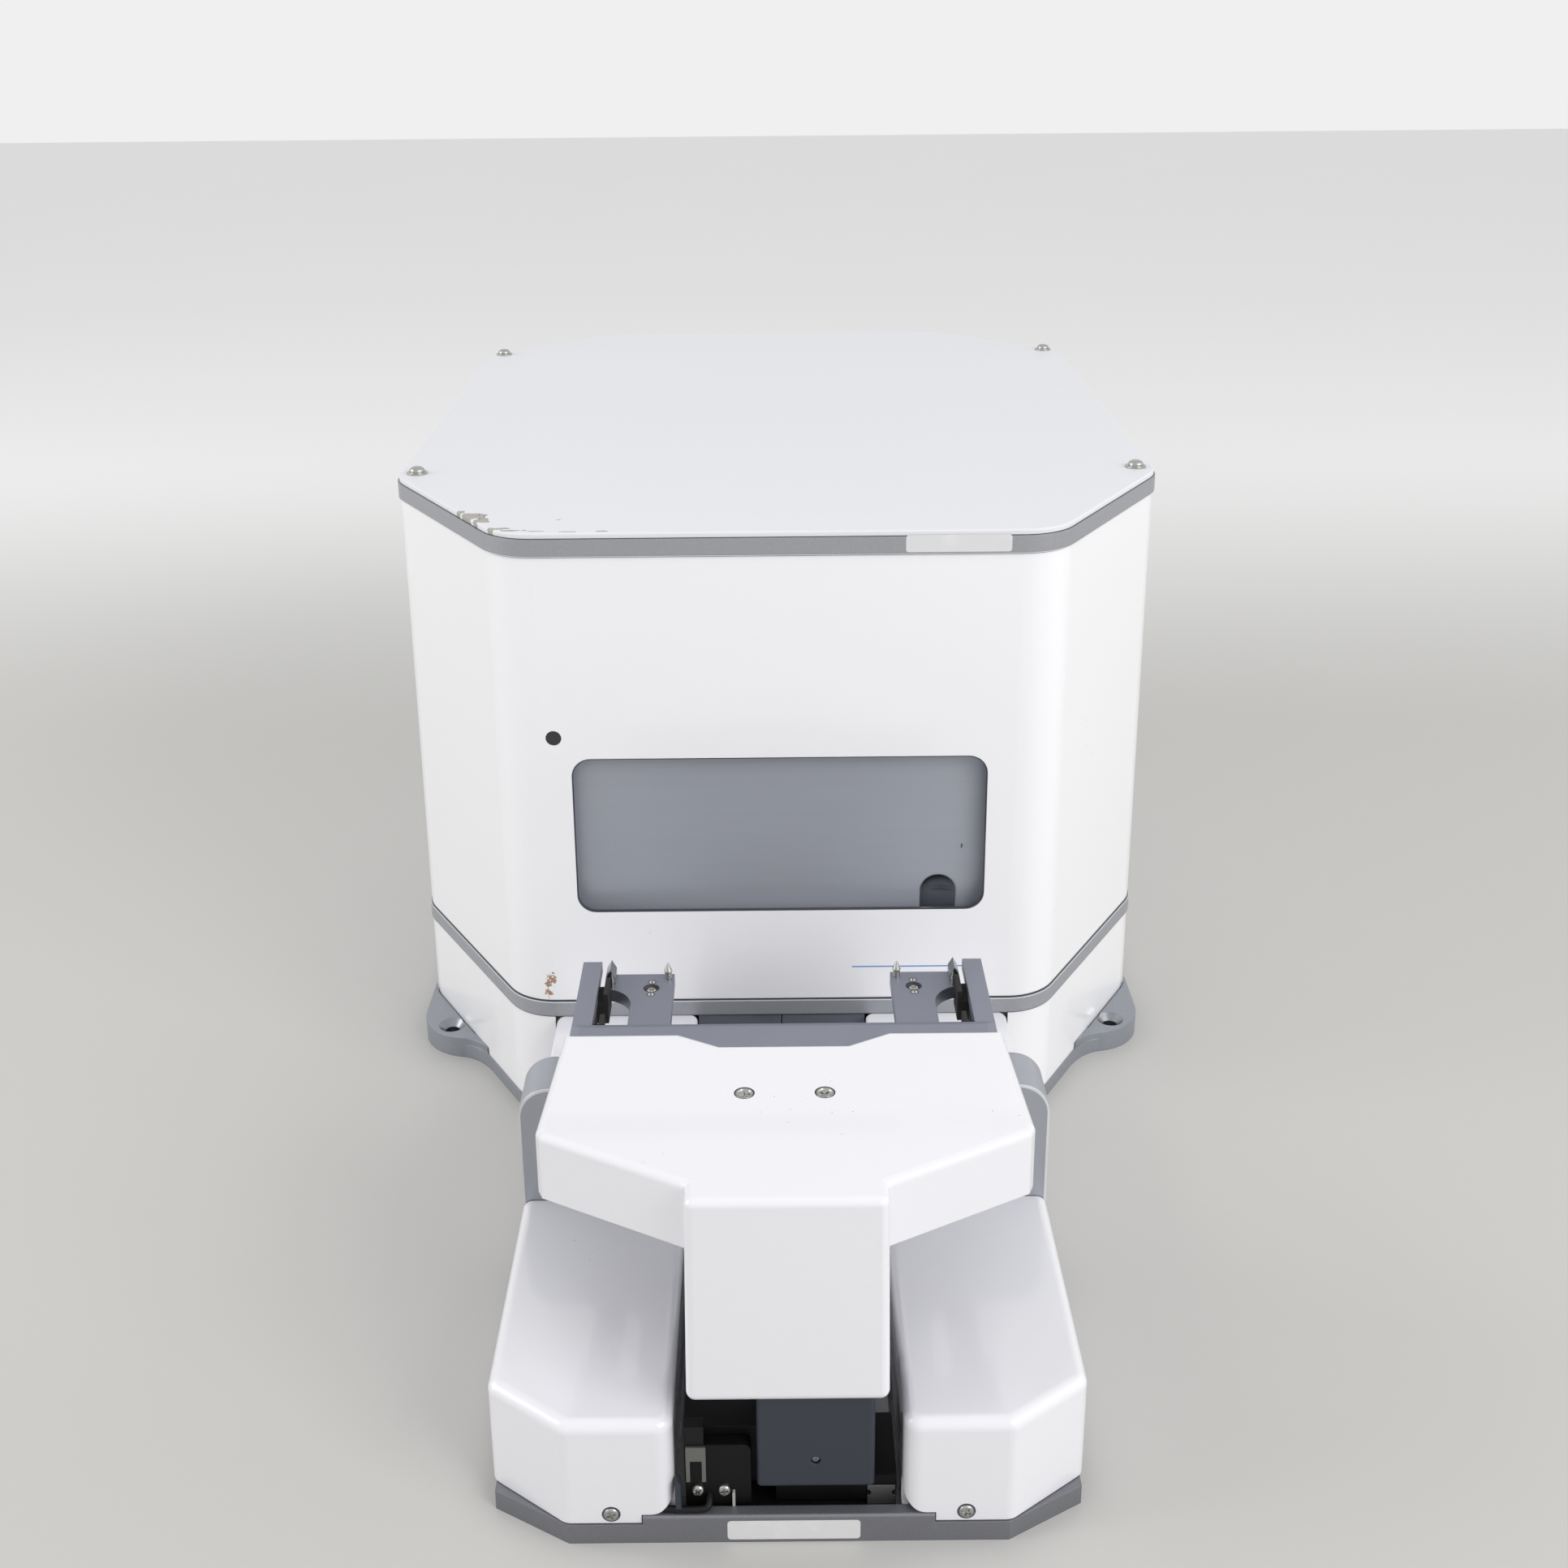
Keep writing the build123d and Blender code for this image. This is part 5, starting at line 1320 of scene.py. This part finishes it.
@dataclass
class Housing:
    """The centrifuge's body: base, shells, trim, top plate and what is stuck to them.

    Sizes are in millimetres, as in every sub-assembly, and heights are above the bench.
    """

    half_width: float = 170.0
    front: float = -176.0
    back: float = 286.0
    front_half: float = 112.5
    front_chamfer_y: float = 96.0
    rear_chamfer: Flat = (65.4, 71.5)
    corner_radius: float = 25.0
    screw_x: float = 161.2
    screw_front: float = 101.7
    screw_back: float = 67.3
    cover_screw: Screw = Screw(Head.DOME, Drive.PLAIN, 3.4, 2.4, 2.0, 7.0, (4.6, 0.8))
    ear_top: float = 10.0
    base_top: float = 6.8
    web_root: Flat = (150.1, -126.6)
    web_bend: Flat = (140.6, -128.0)
    web_foot: Flat = (132.5, -141.5)
    web_step: Flat = (136.1, -135.4)
    web_inside: Flat = (143.0, -122.0)
    web_clear: Flat = (0.05, 0.03)
    seam_depth: float = 0.8
    seams: tuple[Seam, ...] = (
        Seam("shell_shadow_line", SHADE_DARK, "black_plastic", 49.8, 50.3, 0.8),
        Seam("band_highlight", HIGHLIGHT_SILVER, "silver", 56.8, 57.2, 0.3),
        Seam("casing_shadow_line", SHADE_DARK, "black_plastic", 57.2, 58.0, 0.75),
        Seam("rim_shadow_line", SHADE_DARK, "black_plastic", 258.4, 259.1, 0.7),
        Seam("rim_highlight", HIGHLIGHT_SILVER, "silver", 258.75, 259.1, 0.05),
        Seam("plate_shadow_line", SHADE_DARK, "black_plastic", 266.1, 266.35, 0.6))
    films: tuple[Inlay, ...] = (
        Inlay("rim_label", LABEL, (42.3, 7.0), 1.2, (72.1, -176.0, 263.1)),
        Inlay("front_stripe", BLUE_FILM, (49.0, 0.55), 0.2, (55.0, -175.0, 73.0), proud=0.05, steps=2))

    def build(self) -> None:
        """Dress the body and add its screws and films."""
        dress(CASING_WHITE, "upper_casing", "lower_shell")
        dress(TOP_SATIN, "top_plate")
        dress(SILVER, "top_rim")
        dress(BAND_SILVER, "trim_band")
        dress(BASE_GREY, "base_plate")
        dress(LENS, "status_lamp")
        self.cover_screws()
        for film in self.films:
            film.build()
        # Dark rings are painted shade in the gaps between shells, band, rim and plate; bright rings are
        # painted highlight along the band's and rim's edges.
        for seam in self.seams:
            outer, inner = self.plan(seam.inset), self.plan(seam.inset + self.seam_depth)
            shape = Shape().ring(outer, inner, seam.low, seam.high)
            shape.to_part(seam.name, seam.finish, "housing", seam.slot)
        self.ear_webs()

    def plan(self, inset: float) -> Plan:
        """Eight-sided plan of the body.

        Args:
            inset: How far it is drawn in, in millimetres.

        Returns:
            The plan's points, anticlockwise.
        """
        wide = self.half_width
        rear_x, rear_y = self.rear_chamfer
        right = [(wide, self.front + self.front_chamfer_y), (wide, self.back - rear_y),
                 (wide - rear_x, self.back)]
        left = [(-x, y) for x, y in reversed(right)]
        corners = [(-self.front_half, self.front), (self.front_half, self.front), *right, *left]
        return rounded_outline(corners, self.corner_radius, inset)

    def ear_webs(self) -> None:
        """Concave webs that carry the front ears into the base's slanted sides."""
        shape = Shape()
        below, above = self.web_clear
        layers = ((self.web_foot, below, self.base_top), (self.web_step, self.base_top, self.ear_top))
        for side in (-1, 1):
            for foot, low, top in layers:
                edge = [*swept(self.web_root, self.web_bend, foot), self.web_inside]
                shape.prism([(side * x, y) for x, y in edge], low, top - above)
        shape.to_part("ear_webs", BASE_GREY, "housing", "grey_paint")

    def cover_screws(self) -> None:
        """Domed screws with washers at the top plate's corners."""
        unit = self.cover_screw.mesh()
        shape = Shape()
        for side in (-1, 1):
            for y in (self.front + self.screw_front, self.back - self.screw_back):
                shape.stamped(unit, facing(side * self.screw_x, y, PLATE_TOP))
        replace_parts(shape.to_part("cover_screws", STEEL, "housing", "bright_steel"), "top_screws")


@dataclass
class Doorway:
    """The sliding door with its guides, frame and lift."""

    window: Flat = (173.2, 71.0)
    window_radius: float = 8.0
    window_middle: float = 135.7
    wall_front: float = -174.8
    wall_back: float = -173.1
    edge_shade_clear: float = 0.05
    edge_shade_thick: float = 0.4

    def build(self) -> None:
        """Dress the door group and ring the window's edge with a dark band of painted shade."""
        dress(DOOR_GREY, "door")
        dress(BLACK_ANODISED, "door_guides")
        dress(ALUMINIUM, "door_frame", "door_cylinder")
        dress(STEEL, "door_arm")
        # The dark ring over the window's edge is painted shade, the shadow line round the recessed door.
        outer, inner = self.edge_shade_plan(0.0), self.edge_shade_plan(self.edge_shade_thick)
        place = facing(0, self.wall_front, self.window_middle, FORWARD)
        shape = Shape().ring(outer, inner, self.wall_front - self.wall_back, 0.0, place)
        shape.to_part("window_edge_shade", SHADE_DARK, "housing", "black_plastic")

    def edge_shade_plan(self, inset: float) -> Plan:
        """Plan of the outer or inner face of the window's painted shade ring.

        Args:
            inset: How far it is drawn in from the outer face, in millimetres.

        Returns:
            The plan's points.
        """
        width, height = (size - 2 * (self.edge_shade_clear + inset) for size in self.window)
        return rounded_rectangle(width, height, self.window_radius - inset)


@dataclass
class SpinChamber:
    """Armoured chamber, drive motor, rotor and buckets."""

    def build(self) -> None:
        """Dress the chamber and everything that spins in it."""
        dress(ALUMINIUM, "chamber_floor", "chamber_lid", "rotor_yoke")
        dress(CHAMBER_STEEL, "armour_ring")
        dress(BLACK_PLASTIC, "chamber_posts", "rotor_knob")
        dress(DARK_GREY, "motor_housing")
        dress(STEEL, "motor_bearings", "drive_shaft", "trunnion_pins")
        dress(BLACK_ANODISED, "bucket_front", "bucket_rear")


@dataclass
class RearPanel:
    """Connectors on the back wall and the electronics behind it."""

    def build(self) -> None:
        """Dress the connectors, the supply and the board."""
        dress(BLACK_PLASTIC, "power_inlet", "switch_frame", "power_rocker")
        dress(STEEL, "serial_port")
        dress(BRASS, "air_fittings")
        dress(ALUMINIUM, "power_supply")
        dress(BOARD, "controller_board")


@dataclass
class LoaderHousing:
    """Base, side covers, bulkheads and rear covers of the loader, and its sensor."""

    front: float = -417.0
    base_height: float = 7.3
    side_screw_at: Point = (56.8, -416.2, 11.2)
    side_screw_spins: Flat = (20.0, 62.0)
    side_screw: Screw = Screw(Head.PAN, Drive.CROSS, 2.45, 1.0, 1.0, 8.0)
    side_well: Flat = (2.5, 3.0)
    end_block_front: float = -411.4
    end_screws: Flat = (-29.1, -20.6)
    end_screw_z: float = 16.6
    end_screw_spins: Flat = (35.0, 8.0)
    end_screw: Screw = Screw(Head.PAN, Drive.CROSS, 2.1, 1.8, 1.2, 3.0)
    bracket_x: float = -29.6
    bracket_half: float = 3.2
    bracket_web: float = 1.3
    bracket_heights: Point = (19.8, 28.0, 33.4)
    cheek: tuple[Flat, ...] = ((-36.2, 10.4), (-36.2, 22.6), (-35.0, 22.9), (-34.4, 22.0), (-34.3, 13.4))
    cheek_corner: Flat = (-34.3, 10.4)
    cheek_toe: Flat = (-31.5, 10.4)
    cheek_behind: float = 1.1
    cheek_thick: float = 3.6
    guide: Inlay = Inlay("light_guide", LIGHT_GUIDE, (0.9, 5.6), 0.4, (-17.6, -411.4, 13.2), 1.4, 0.2, 3)
    lead_radius: float = 1.15
    lead: tuple[Point, ...] = ((-25.4, -411.0, 14.0), (-25.4, -412.9, 13.4), (-25.6, -414.4, 12.4),
                               (-26.6, -415.0, 11.8), (-29.5, -415.2, 11.7), (-34.0, -415.2, 11.7),
                               (-40.0, -414.8, 11.8))
    bulkhead_radius: float = 12.0
    highlight_foot: float = 12.0
    highlight_insets: Flat = (0.1, 1.0)
    channel_half: float = 36.3
    channel_ends: Flat = (-412.0, -180.0)
    strip: Flat = (-0.3, 0.12)
    label: Inlay = Inlay("base_label", LABEL, (42.6, 7.4), 1.2, (1.6, -417.0, 4.9))

    def build(self) -> None:
        """Dress the loader's body and add its small pieces."""
        dress(COVER_WHITE, "side_cover_left", "side_cover_right", "rear_cover_left", "rear_cover_right")
        dress(LOADER_GREY, "loader_base")
        dress(BULKHEAD_GREY, "bulkhead_left", "bulkhead_right")
        dress(ANODISED, "dock_panels")
        self.screws()
        self.screw_shade_rings()
        self.sensor_bracket()
        self.lip_cheek()
        self.guide.build()
        self.sensor_lead()
        self.bulkhead_highlights()
        self.channel_shade_sheet()
        self.label.build()

    def screws(self) -> None:
        """Cross-recessed screws at the covers' feet and in the front end block."""
        shape = Shape()
        unit = self.side_screw.mesh()
        x, y, z = self.side_screw_at
        for side, spin in zip((-1, 1), self.side_screw_spins):
            shape.stamped(unit, facing(side * x, y, z, FORWARD, spin))
        unit = self.end_screw.mesh()
        for x, spin in zip(self.end_screws, self.end_screw_spins):
            shape.stamped(unit, facing(x, self.end_block_front, self.end_screw_z, FORWARD, spin))
        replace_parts(shape.to_part("cross_screws", STEEL, "housing", "bright_steel"), "loader_screws")

    def screw_shade_rings(self) -> None:
        """Dark rings of painted shade round the screws at the covers' feet."""
        shape = Shape()
        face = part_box("side_cover_left")[0][1] / MM
        for side in (-1, 1):
            place = facing(side * self.side_screw_at[0], face, self.side_screw_at[2], FORWARD)
            shape.turned(shade_ring(*self.side_well), place)
        shape.to_part("side_screw_shade_rings", SHADE_DARK, "housing", "black_plastic")

    def sensor_bracket(self) -> None:
        """Folded bracket that stands over the front end block's screw."""
        half, inner = self.bracket_half, self.bracket_half - self.bracket_web
        foot, opening, top = self.bracket_heights
        hoop = [(-half, foot), (-half, top), (half, top), (half, foot),
                (inner, foot), (inner, opening), (-inner, opening), (-inner, foot)]
        shape = Shape().prism(hoop, -0.2, 0.8, standing(self.bracket_x, self.end_block_front))
        shape.to_part("sensor_bracket", SENSOR_GREY, "housing", "plain_aluminium")

    def lip_cheek(self) -> None:
        """Cheek with a swept toe between the left cover and the front lip. Its dark grey finish, darker than
        the lip's grey paint, is painted shade.
        """
        plan = [*self.cheek, *swept(self.cheek[-1], self.cheek_corner, self.cheek_toe)]
        shape = Shape().prism(plan, -self.cheek_thick, 0.0, standing(0, self.front + self.cheek_behind))
        # The dark grey finish paints shade onto the cheek's lamp-facing side.
        shape.to_part("lip_cheek", DARK_GREY, "housing", "grey_paint")

    def sensor_lead(self) -> None:
        """Short fixed lead from the sensor to the left cover."""
        line = bpy.data.curves.new("sensor_lead", "CURVE")
        line.dimensions = "3D"
        line.bevel_depth = self.lead_radius * MM
        line.bevel_resolution = 4
        line.use_fill_caps = True
        spline = line.splines.new("NURBS")
        spline.points.add(len(self.lead) - 1)
        for point, spot in zip(spline.points, self.lead):
            point.co = (*mm(*spot), 1.0)
        spline.order_u = 3
        spline.use_endpoint_u = True
        line.materials.append(BLACK_PLASTIC.material())
        lead = placed("sensor_lead", line)
        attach(lead, "housing")

    def bulkhead_highlights(self) -> None:
        """Bright line of painted highlight along the front edge of each bulkhead."""
        shape = Shape()
        for side, node in ((-1, "bulkhead_left"), (1, "bulkhead_right")):
            low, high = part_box(node)
            outer = max(abs(low[0]), abs(high[0])) / MM
            inner = outer - (high[0] - low[0]) / MM + 1
            top, radius = high[2] / MM, self.bulkhead_radius
            lines = []
            for inset in self.highlight_insets:
                bend = arc(outer - radius, top - radius, radius - inset)
                points = [(outer - inset, self.highlight_foot), *bend, (inner, top - inset)]
                lines.append([(side * x, z) for x, z in points])
            shape.prism(lines[0] + lines[1][::-1], -0.6, 0.04, standing(0, low[1] / MM))
        shape.to_part("bulkhead_highlights", HIGHLIGHT_SILVER, "housing", "silver")

    def channel_shade_sheet(self) -> None:
        """Thin black sheet on the floor of the loader's channel, painted shade where the channel floor lies
        in shadow.
        """
        near, far = self.channel_ends
        plan = [(-self.channel_half, near), (self.channel_half, near), (self.channel_half, far),
                (-self.channel_half, far)]
        low, high = (self.base_height + level for level in self.strip)
        Shape().prism(plan, low, high).to_part("channel_shade_sheet", CHANNEL_SHADE_BLACK, "housing", "black_plastic")


@dataclass
class LoaderDrive:
    """Rail, rodless cylinder, column and shuttle."""

    set_screw: Screw = Screw(Head.CAP, Drive.HEX, 1.35, 1.4, 1.2, 2.0)
    set_screw_height: float = 9.8
    set_screw_sunk: float = 2.2
    set_screw_spin: float = 12.0

    def build(self) -> None:
        """Dress the drive."""
        dress(RAIL_GREY, "linear_rail", "rodless_cylinder")
        dress(GROUND_STEEL, "lift_rail")
        dress(BLACK_ANODISED, "cylinder_ends", "carriage_block", "cylinder_shuttle")
        dress(BLACK_PLASTIC, "home_sensor")
        dress(DARK_GREY, "carriage_column")
        low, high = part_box("carriage_column")
        y, z = low[1] / MM + self.set_screw_sunk, low[2] / MM + self.set_screw_height
        place = facing((low[0] + high[0]) / 2 / MM, y, z, FORWARD, self.set_screw_spin)
        shape = Shape().stamped(self.set_screw.mesh(), place)
        shape.to_part("column_set_screw", STEEL, "carriage", "bright_steel")


@dataclass
class GripperHead:
    """Cover, frame, forks and fingers of the moving head."""

    cover_screw: Screw = Screw(Head.DISH, Drive.CROSS, 3.05, 2.0, 2.0, 0.4)
    fork_screw: Screw = Screw(Head.DOME, Drive.HEX, 2.5, 2.6, 1.2, 0.2)
    dowel: Screw = Screw(Head.FLAT, Drive.SLOT, 1.25, 1.6, 0.4, 0.1)
    cover_well: Flat = (3.05, 3.45)
    fork_well: Flat = (2.55, 3.1)
    dowel_well: Flat = (1.25, 1.6)
    screw_x: float = 13.3
    screw_y: float = -356.7
    screw_spins: Flat = (15.0, 50.0)
    head_top: float = 128.0
    fork_x: float = 49.0
    fork_y: float = -273.0
    fork_top: float = 119.5
    fork_screw_sunk: float = 3.0
    fork_screw_spin: float = 11.0
    dowel_sunk: float = 1.5
    dowel_spin: float = 90.0
    dowel_pitch: float = 9.0

    def build(self) -> None:
        """Dress the head and add its screws."""
        dress(COVER_WHITE, "head_cover")
        dress(ANODISED, "gripper_frame", "forks", "lift_arm")
        dress(STEEL, "guide_pins")
        dress(GROUND_STEEL, "guide_blades")
        dress(ALUMINIUM, "grip_cylinder")
        dress(RUBBER, "finger_left", "finger_right")
        self.cover_screws()
        self.fork_screws()
        self.screw_shade_rings()

    def dowels(self, x: float) -> Plan:
        """Where the two dowels of the fork at an X stand."""
        return [(x, self.fork_y + end * self.dowel_pitch / 2) for end in (-1, 1)]

    def cover_screws(self) -> None:
        """Dished screws in the head's cover."""
        unit = self.cover_screw.mesh()
        shape = Shape()
        seat = self.head_top - self.cover_screw.height
        for side, spin in zip((-1, 1), self.screw_spins):
            shape.stamped(unit, facing(side * self.screw_x, self.screw_y, seat, UP, spin))
        part = shape.to_part("head_cover_screws", STEEL, "gripper_head", "bright_steel")
        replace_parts(part, "head_screws")

    def fork_screws(self) -> None:
        """A domed screw and two slotted dowels in each fork."""
        cap, peg = self.fork_screw.mesh(), self.dowel.mesh()
        shape = Shape()
        for x in (-self.fork_x, self.fork_x):
            seat = self.fork_top - self.fork_screw_sunk
            shape.stamped(cap, facing(x, self.fork_y, seat, UP, self.fork_screw_spin))
            for place in self.dowels(x):
                shape.stamped(peg, facing(*place, self.fork_top - self.dowel_sunk, UP, self.dowel_spin))
        part = shape.to_part("fork_cap_screws", PIN_STEEL, "gripper_head", "bright_steel")
        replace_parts(part, "fork_screws")

    def screw_shade_rings(self) -> None:
        """Dark rings of painted shade round the sunk screws and dowels."""
        shape = Shape()
        for side in (-1, 1):
            x = side * self.fork_x
            shape.turned(shade_ring(*self.fork_well), facing(x, self.fork_y, self.fork_top))
            shape.turned(shade_ring(*self.cover_well), facing(side * self.screw_x, self.screw_y, self.head_top))
            for place in self.dowels(x):
                shape.turned(shade_ring(*self.dowel_well), facing(*place, self.fork_top))
        shape.to_part("screw_shade_rings", SHADE_DARK, "gripper_head", "black_plastic")


# --- Studio ------------------------------------------------------------------------------


@dataclass(frozen=True)
class SoftBox:
    """A rectangular studio lamp.

    Attributes:
        name: Name of the lamp.
        place: Where it stands, in metres.
        aim: What it points at.
        size: Width and height.
        power: Power in watts.
    """

    name: str
    place: Point
    aim: Point
    size: Flat
    power: float

    def build(self) -> None:
        """Hang the lamp."""
        lamp = bpy.data.lights.new(self.name, "AREA")
        lamp.shape = "RECTANGLE"
        lamp.size, lamp.size_y = self.size
        lamp.energy = self.power
        holder = placed(self.name, lamp)
        holder.location = self.place
        way = Vector(self.aim) - Vector(self.place)
        holder.rotation_euler = way.to_track_quat("-Z", "Y").to_euler()


@dataclass
class Studio:
    """Pale floor, soft lamps and the camera."""

    eye: Point = (-0.00314, -0.8817, 0.4684)
    pitch: float = 19.25
    roll: float = -0.53
    lens: float = 42.36
    shift: Flat = (0.0083, -0.0901)
    sensor: float = 36.0
    clip: Flat = (0.01, 50.0)
    floor_reach: float = 6000.0
    floor_colour: Rgb = tint(198, 197, 194)
    floor_shade: float = 0.97
    floor_roughness: Flat = (0.42, 0.55)
    sweep_colour: Rgb = tint(246, 246, 246)
    sweep: Flat = (0.25, 1.1)
    world_light: float = 0.72
    backdrop: Rgb = tint(240, 240, 240)
    lamps: tuple[SoftBox, ...] = (
        SoftBox("front", (1.3, -1.5, 1.2), (0, -0.1, 0.12), (1.2, 1.0), 18.2),
        SoftBox("left", (-1.8, -0.3, 0.9), (0, 0, 0.15), (1.2, 1.2), 13.5),
        SoftBox("right", (1.8, -0.3, 0.9), (0, 0, 0.15), (1.2, 1.2), 4.0))

    def build(self) -> None:
        """Set up the whole studio."""
        for lamp in self.lamps:
            lamp.build()
        self.floor()
        self.world()
        self.camera()
        bpy.context.scene.view_settings.view_transform = "Standard"

    def seen(self, tree: bpy.types.NodeTree) -> Socket:
        """Share that is 1 on camera, mirror and glass rays.

        Args:
            tree: Node tree to add the nodes to.

        Returns:
            The share's socket.
        """
        path = tree.nodes.new("ShaderNodeLightPath")
        share = path.outputs["Is Camera Ray"]
        for ray in ("Is Glossy Ray", "Is Transmission Ray"):
            either = tree.nodes.new("ShaderNodeMath")
            either.operation = "MAXIMUM"
            tree.links.new(share, either.inputs[0])
            tree.links.new(path.outputs[ray], either.inputs[1])
            share = either.outputs[0]
        return share

    def background(self, tree: bpy.types.NodeTree, colour: Rgb, strength: float) -> Socket:
        """One plain background.

        Args:
            tree: The world's node tree.
            colour: Its colour.
            strength: Its strength.

        Returns:
            The background's socket.
        """
        made = tree.nodes.new("ShaderNodeBackground")
        made.inputs["Color"].default_value = (*colour, 1)
        made.inputs["Strength"].default_value = strength
        return made.outputs[0]

    def world(self) -> None:
        """Even light all round, with a plain pale backdrop behind the object."""
        world = bpy.data.worlds.new("studio")
        bpy.context.scene.world = world
        world.use_nodes = True
        tree = world.node_tree
        tree.nodes.clear()
        output = tree.nodes.new("ShaderNodeOutputWorld")
        both = tree.nodes.new("ShaderNodeMixShader")
        tree.links.new(self.seen(tree), both.inputs[0])
        tree.links.new(self.background(tree, (1, 1, 1), self.world_light), both.inputs[1])
        tree.links.new(self.background(tree, self.backdrop, 1.0), both.inputs[2])
        tree.links.new(both.outputs[0], output.inputs["Surface"])

    def floor(self) -> None:
        """Wide pale floor that takes the object's shadow."""
        shape = Shape()
        reach = self.floor_reach
        corners = [(-reach, -reach), (reach, -reach), (reach, reach), (-reach, reach)]
        shape.mesh.faces.new([shape.mesh.verts.new(mm(x, y, 0)) for x, y in corners])
        made = shape.to_mesh("floor")
        made.materials.append(self.floor_finish())
        placed("floor", made)

    def floor_finish(self) -> bpy.types.Material:
        """Faintly clouded satin that grows paler towards the back.

        Returns:
            The material.
        """
        graph = Graph("finish_floor")
        cloud = graph.noise(3, 4)
        dark = tuple(part * self.floor_shade for part in self.floor_colour)
        along = graph.node("SeparateXYZ")
        graph.feed(along.inputs[0], graph.place)
        far = graph.spread(along.outputs[1], *self.sweep)
        graph.set(Base_Color=graph.mix(far, graph.mix(cloud, dark, self.floor_colour), self.sweep_colour),
                  Roughness=graph.blend(cloud, *self.floor_roughness), Metallic=0.0)
        return graph.material

    def camera(self) -> None:
        """Camera in front of the loader, looking down on the housing."""
        data = bpy.data.cameras.new("camera")
        data.lens = self.lens
        data.sensor_width = self.sensor
        data.shift_x, data.shift_y = self.shift
        data.clip_start, data.clip_end = self.clip
        camera = placed("camera", data)
        tilt = Matrix.Rotation(math.radians(90 - self.pitch), 4, "X")
        lean = Matrix.Rotation(math.radians(self.roll), 4, "Z")
        camera.matrix_world = Matrix.Translation(self.eye) @ tilt @ lean
        bpy.context.scene.camera = camera


def main() -> None:
    """Build every sub-assembly and the studio."""
    logging.basicConfig(level=logging.INFO, format="%(name)s: %(message)s")
    for group in (Housing, Doorway, SpinChamber, RearPanel, LoaderHousing, LoaderDrive, GripperHead, Studio):
        LOG.info("building %s", group.__name__)
        group().build()


if __name__ == "__main__":
    main()
